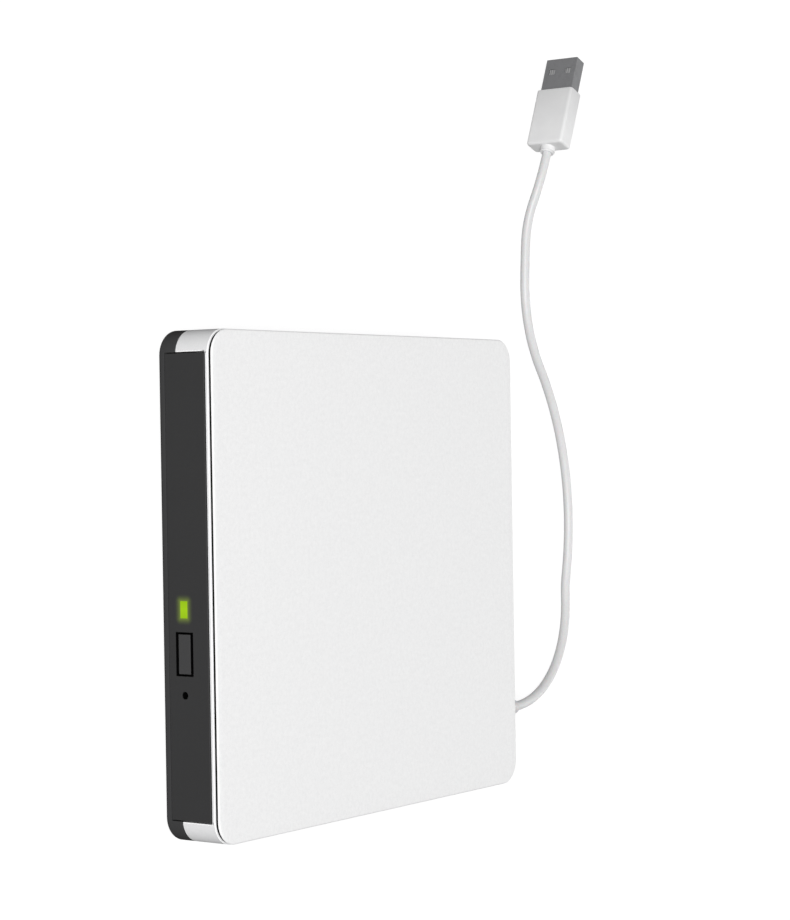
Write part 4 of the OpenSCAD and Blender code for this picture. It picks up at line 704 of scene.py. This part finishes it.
nickel = sheet_metal("plug_nickel", (0.135, 0.136, 0.14), (0.19, 0.191, 0.196), 0.36, 1.5)
dress(nickel, plug_can)
galvanised = sheet_metal("galvanised_sheet", (0.3, 0.306, 0.312), (0.46, 0.467, 0.475), 0.46, 6.0, (1, 0.15, 1))
dress(galvanised, "drive_pan", "drive_lid", "tray_shield", "traverse_plate", "motor_base",
      "slide_rail_left", "slide_rail_right")
bright_steel = sheet_metal("ground_steel", (0.6, 0.6, 0.61), (0.74, 0.74, 0.75), 0.18, 3.0, (1, 1, 0.2))
dress(bright_steel, "guide_rod_front", "guide_rod_rear", "case_screws", "damper_screws", "latch_post",
      "latch_hook", rotor, "sled_motor", thread)
gold = sheet_metal("gold_plate", (0.75, 0.52, 0.18), (0.9, 0.68, 0.3), 0.24, 2.0)
dress(gold, "plug_contacts")

# %% [markdown]
# Inside, the tray is the same black plastic with a slightly coarser grain, and the pads are soft rubber.
# Boards are glass cloth under green mask: square fields of fine tracks run one way or the other, with
# tinned vias between. The windings are bands of copper, one to each strand.

# %% Tray, rubber, boards
tray_black = spark_black("tray_plastic", 0.016, 0.03, 0.55, 0.03, 0.4)
dress(tray_black, tray, "rail_guide_left", "rail_guide_right", platter, lens_mount, "sata_plug", "sata_socket",
      "eject_switch", "drive_chips", "bridge_chips", "flex_socket")


def soft_rubber(name, low, high, size, gloss=0.3):
    """Soft rubber: dull, with a blurred grain."""
    made = Finish(name)
    made.set(**{"Specular IOR Level": gloss})
    skin_grain = made.grain(size, 3.0)
    made.coat(skin_grain, (low,) * 3, (high,) * 3, 0.72 + 0.2 * (skin_grain - 0.5))
    made.relief(skin_grain, 0.03, 0.6)
    return made


dress(soft_rubber("foot_rubber", 0.02, 0.045, 0.5), feet)
dress(soft_rubber("pad_rubber", 0.05, 0.09, 0.3), "turntable_pad", "plate_dampers")
dress(soft_rubber("black_foam", 0.02, 0.06, 0.8), "foam_strips")
# The adhesive ring is a black film, made near black beyond its own colour as painted shadow of the gap between
# cover and frame.
dress(soft_rubber("black_film_gap_shade", 0.001, 0.003, 0.6, 0.04), "cover_adhesive")

board = Finish("green_board")
field = board.cells(5.0, "F1", "CHEBYCHEV")["Color"]
turned_field = board.node("ShaderNodeSeparateColor", {}, {0: field})["Red"].over(0.5)
xyz = board.axis()
rows, columns = (board.stripes(xyz[k], 0.45, 0.62, 9.0) for k in "XY")
track = (rows * turned_field + columns * (1 - turned_field)).clip()
via = (1 - board.cells(2.6)["Distance"] * 5.5).clip() ** 0.5
cloth = board.grain(0.3, 1.0)
mask = board.mix(track, (0.006, 0.045, 0.018), (0.02, 0.115, 0.045))
board.coat(via.over(0.35), mask, (0.42, 0.4, 0.33), 0.3 + 0.15 * cloth)
board.relief(track + 0.3 * cloth, 0.02, 0.4)
dress(board, "drive_board", "bridge_board", "tray_board")

copper = Finish("wound_copper", metallic=1.0)
strand = 0.7 * copper.stripes(copper.axis()["Y"], 0.14, 0.1, 1.2) + 0.3 * copper.grain(0.6, 1.0)
copper.coat(strand, (0.4, 0.14, 0.05), (0.75, 0.34, 0.15), 0.25 + 0.2 * strand)
copper.relief(strand, 0.04, 0.7)
dress(copper, "motor_stator", "latch_solenoid")

# %% [markdown]
# A painted reflection gives the coating's violet edge: the tint grows with the distance from the lens's axis.
# The coating gives such lenses their violet edge, so the tint grows with the distance from the lens's axis.

# %% Pickup, lens, ribbon and small parts
casting = Finish("die_cast_alloy", metallic=0.9)
cast_skin = casting.grain(0.7, 3.0)
casting.coat(cast_skin, (0.3, 0.305, 0.31), (0.46, 0.465, 0.47), 0.42 + 0.2 * cast_skin)
casting.relief(cast_skin, 0.03, 0.6)
dress(casting, carriage)
dress(sheet_metal("pickup_sheet", (0.24, 0.24, 0.25), (0.35, 0.35, 0.36), 0.46, 3.0), carriage_cover)

glass = Finish("coated_lens", roughness=0.03, coat_weight=1.0, coat_roughness=0.02)
xyz = glass.axis()
out_x, out_y = (xyz[k] - float(lens_mid[i] * MM) for i, k in enumerate("XY"))
# Painted reflection: the violet that the coating shows in reflection is put into the base colour by radius.
painted_rim_tint = ((out_x ** 2 + out_y ** 2) ** 0.5 * float(1 / (lens_r * MM))) ** 2
glass.set(**{"Base Color": glass.mix(painted_rim_tint, (0.03, 0.035, 0.08), (0.22, 0.06, 0.3))})
dress(glass, bead)

film = Finish("ribbon_film")
lanes = film.stripes(film.axis()["X"], 0.5, 0.4, 6.0)
film.coat(lanes, (0.62, 0.6, 0.55), (0.45, 0.33, 0.2), 0.3 + 0.1 * film.grain(0.4))
dress(film, ribbon)

natural = Finish("natural_nylon")
cloudy = natural.grain(2.0, 2.0)
natural.coat(cloudy, (0.66, 0.65, 0.6), (0.8, 0.79, 0.75), 0.34 + 0.14 * cloudy)
natural.relief(cloudy, 0.02, 0.4)
dress(natural, "sled_nut", "status_led")
dress(spark_black("claw_plastic", 0.1, 0.16, 0.4, 0.015, 0.3), "clamp_claw_a", "clamp_claw_b", "clamp_claw_c")

# %% [markdown]
# The floor is pale and keeps the drive's shadow. It shows the camera a white that does not light the drive:
# Light Path tells camera, mirror and glass rays from the rest, and only those see the extra white.

# %% Floor, world and lamps
FLOOR, FLOOR_WHITE, AMBIENT = 4, 0.86, 0.1
floor = bpy.data.objects.new("floor", bpy.data.meshes.new("floor"))
corners = [(-FLOOR, -FLOOR, 0), (FLOOR, -FLOOR, 0), (FLOOR, FLOOR, 0), (-FLOOR, FLOOR, 0)]
floor.data.from_pydata(corners, [], [(0, 1, 2, 3)])
bpy.context.collection.objects.link(floor)
paper = Finish("white_floor", roughness=0.9, base_color=(0.2, 0.2, 0.2))
paper.set(**{"Emission Color": (1, 1, 1), "Emission Strength": paper.seen() * FLOOR_WHITE})
dress(paper, floor)

world = bpy.data.worlds.new("studio")
bpy.context.scene.world = world
world.use_nodes = True


class Sky(Finish):
    """The world's own Background, with the same arithmetic as a finish."""

    def __init__(self, world):
        self.tree = world.node_tree
        self.shader = self.tree.nodes["Background"]


sky = Sky(world)
sky.set(Color=(1, 1, 1), Strength=AMBIENT + (1 - AMBIENT) * sky.seen())


def softbox(name, at, target, size, watts):
    """A square lamp at one point, turned to look at another."""
    lamp = bpy.data.objects.new(name, bpy.data.lights.new(name, "AREA"))
    lamp.data.size, lamp.data.energy = size, watts
    back = unit(np.array(at) - np.array(target))
    side = unit(np.cross([0.0, 1.0, 0.01], back))
    lamp.matrix_world = facing([side, np.cross(back, side), back])
    lamp.location = at
    bpy.context.collection.objects.link(lamp)


softbox("key_light", (0.0, -1.7, 1.3), (0, 0, 0), 0.8, 45.0)
softbox("top_light", (0.0, 0.7, 1.2), (0, 0, 0), 0.8, 5.0)
softbox("rear_light", (0.1, 1.5, 0.35), (0, 0, 0.01), 0.7, 3.5)
print("lamps set")
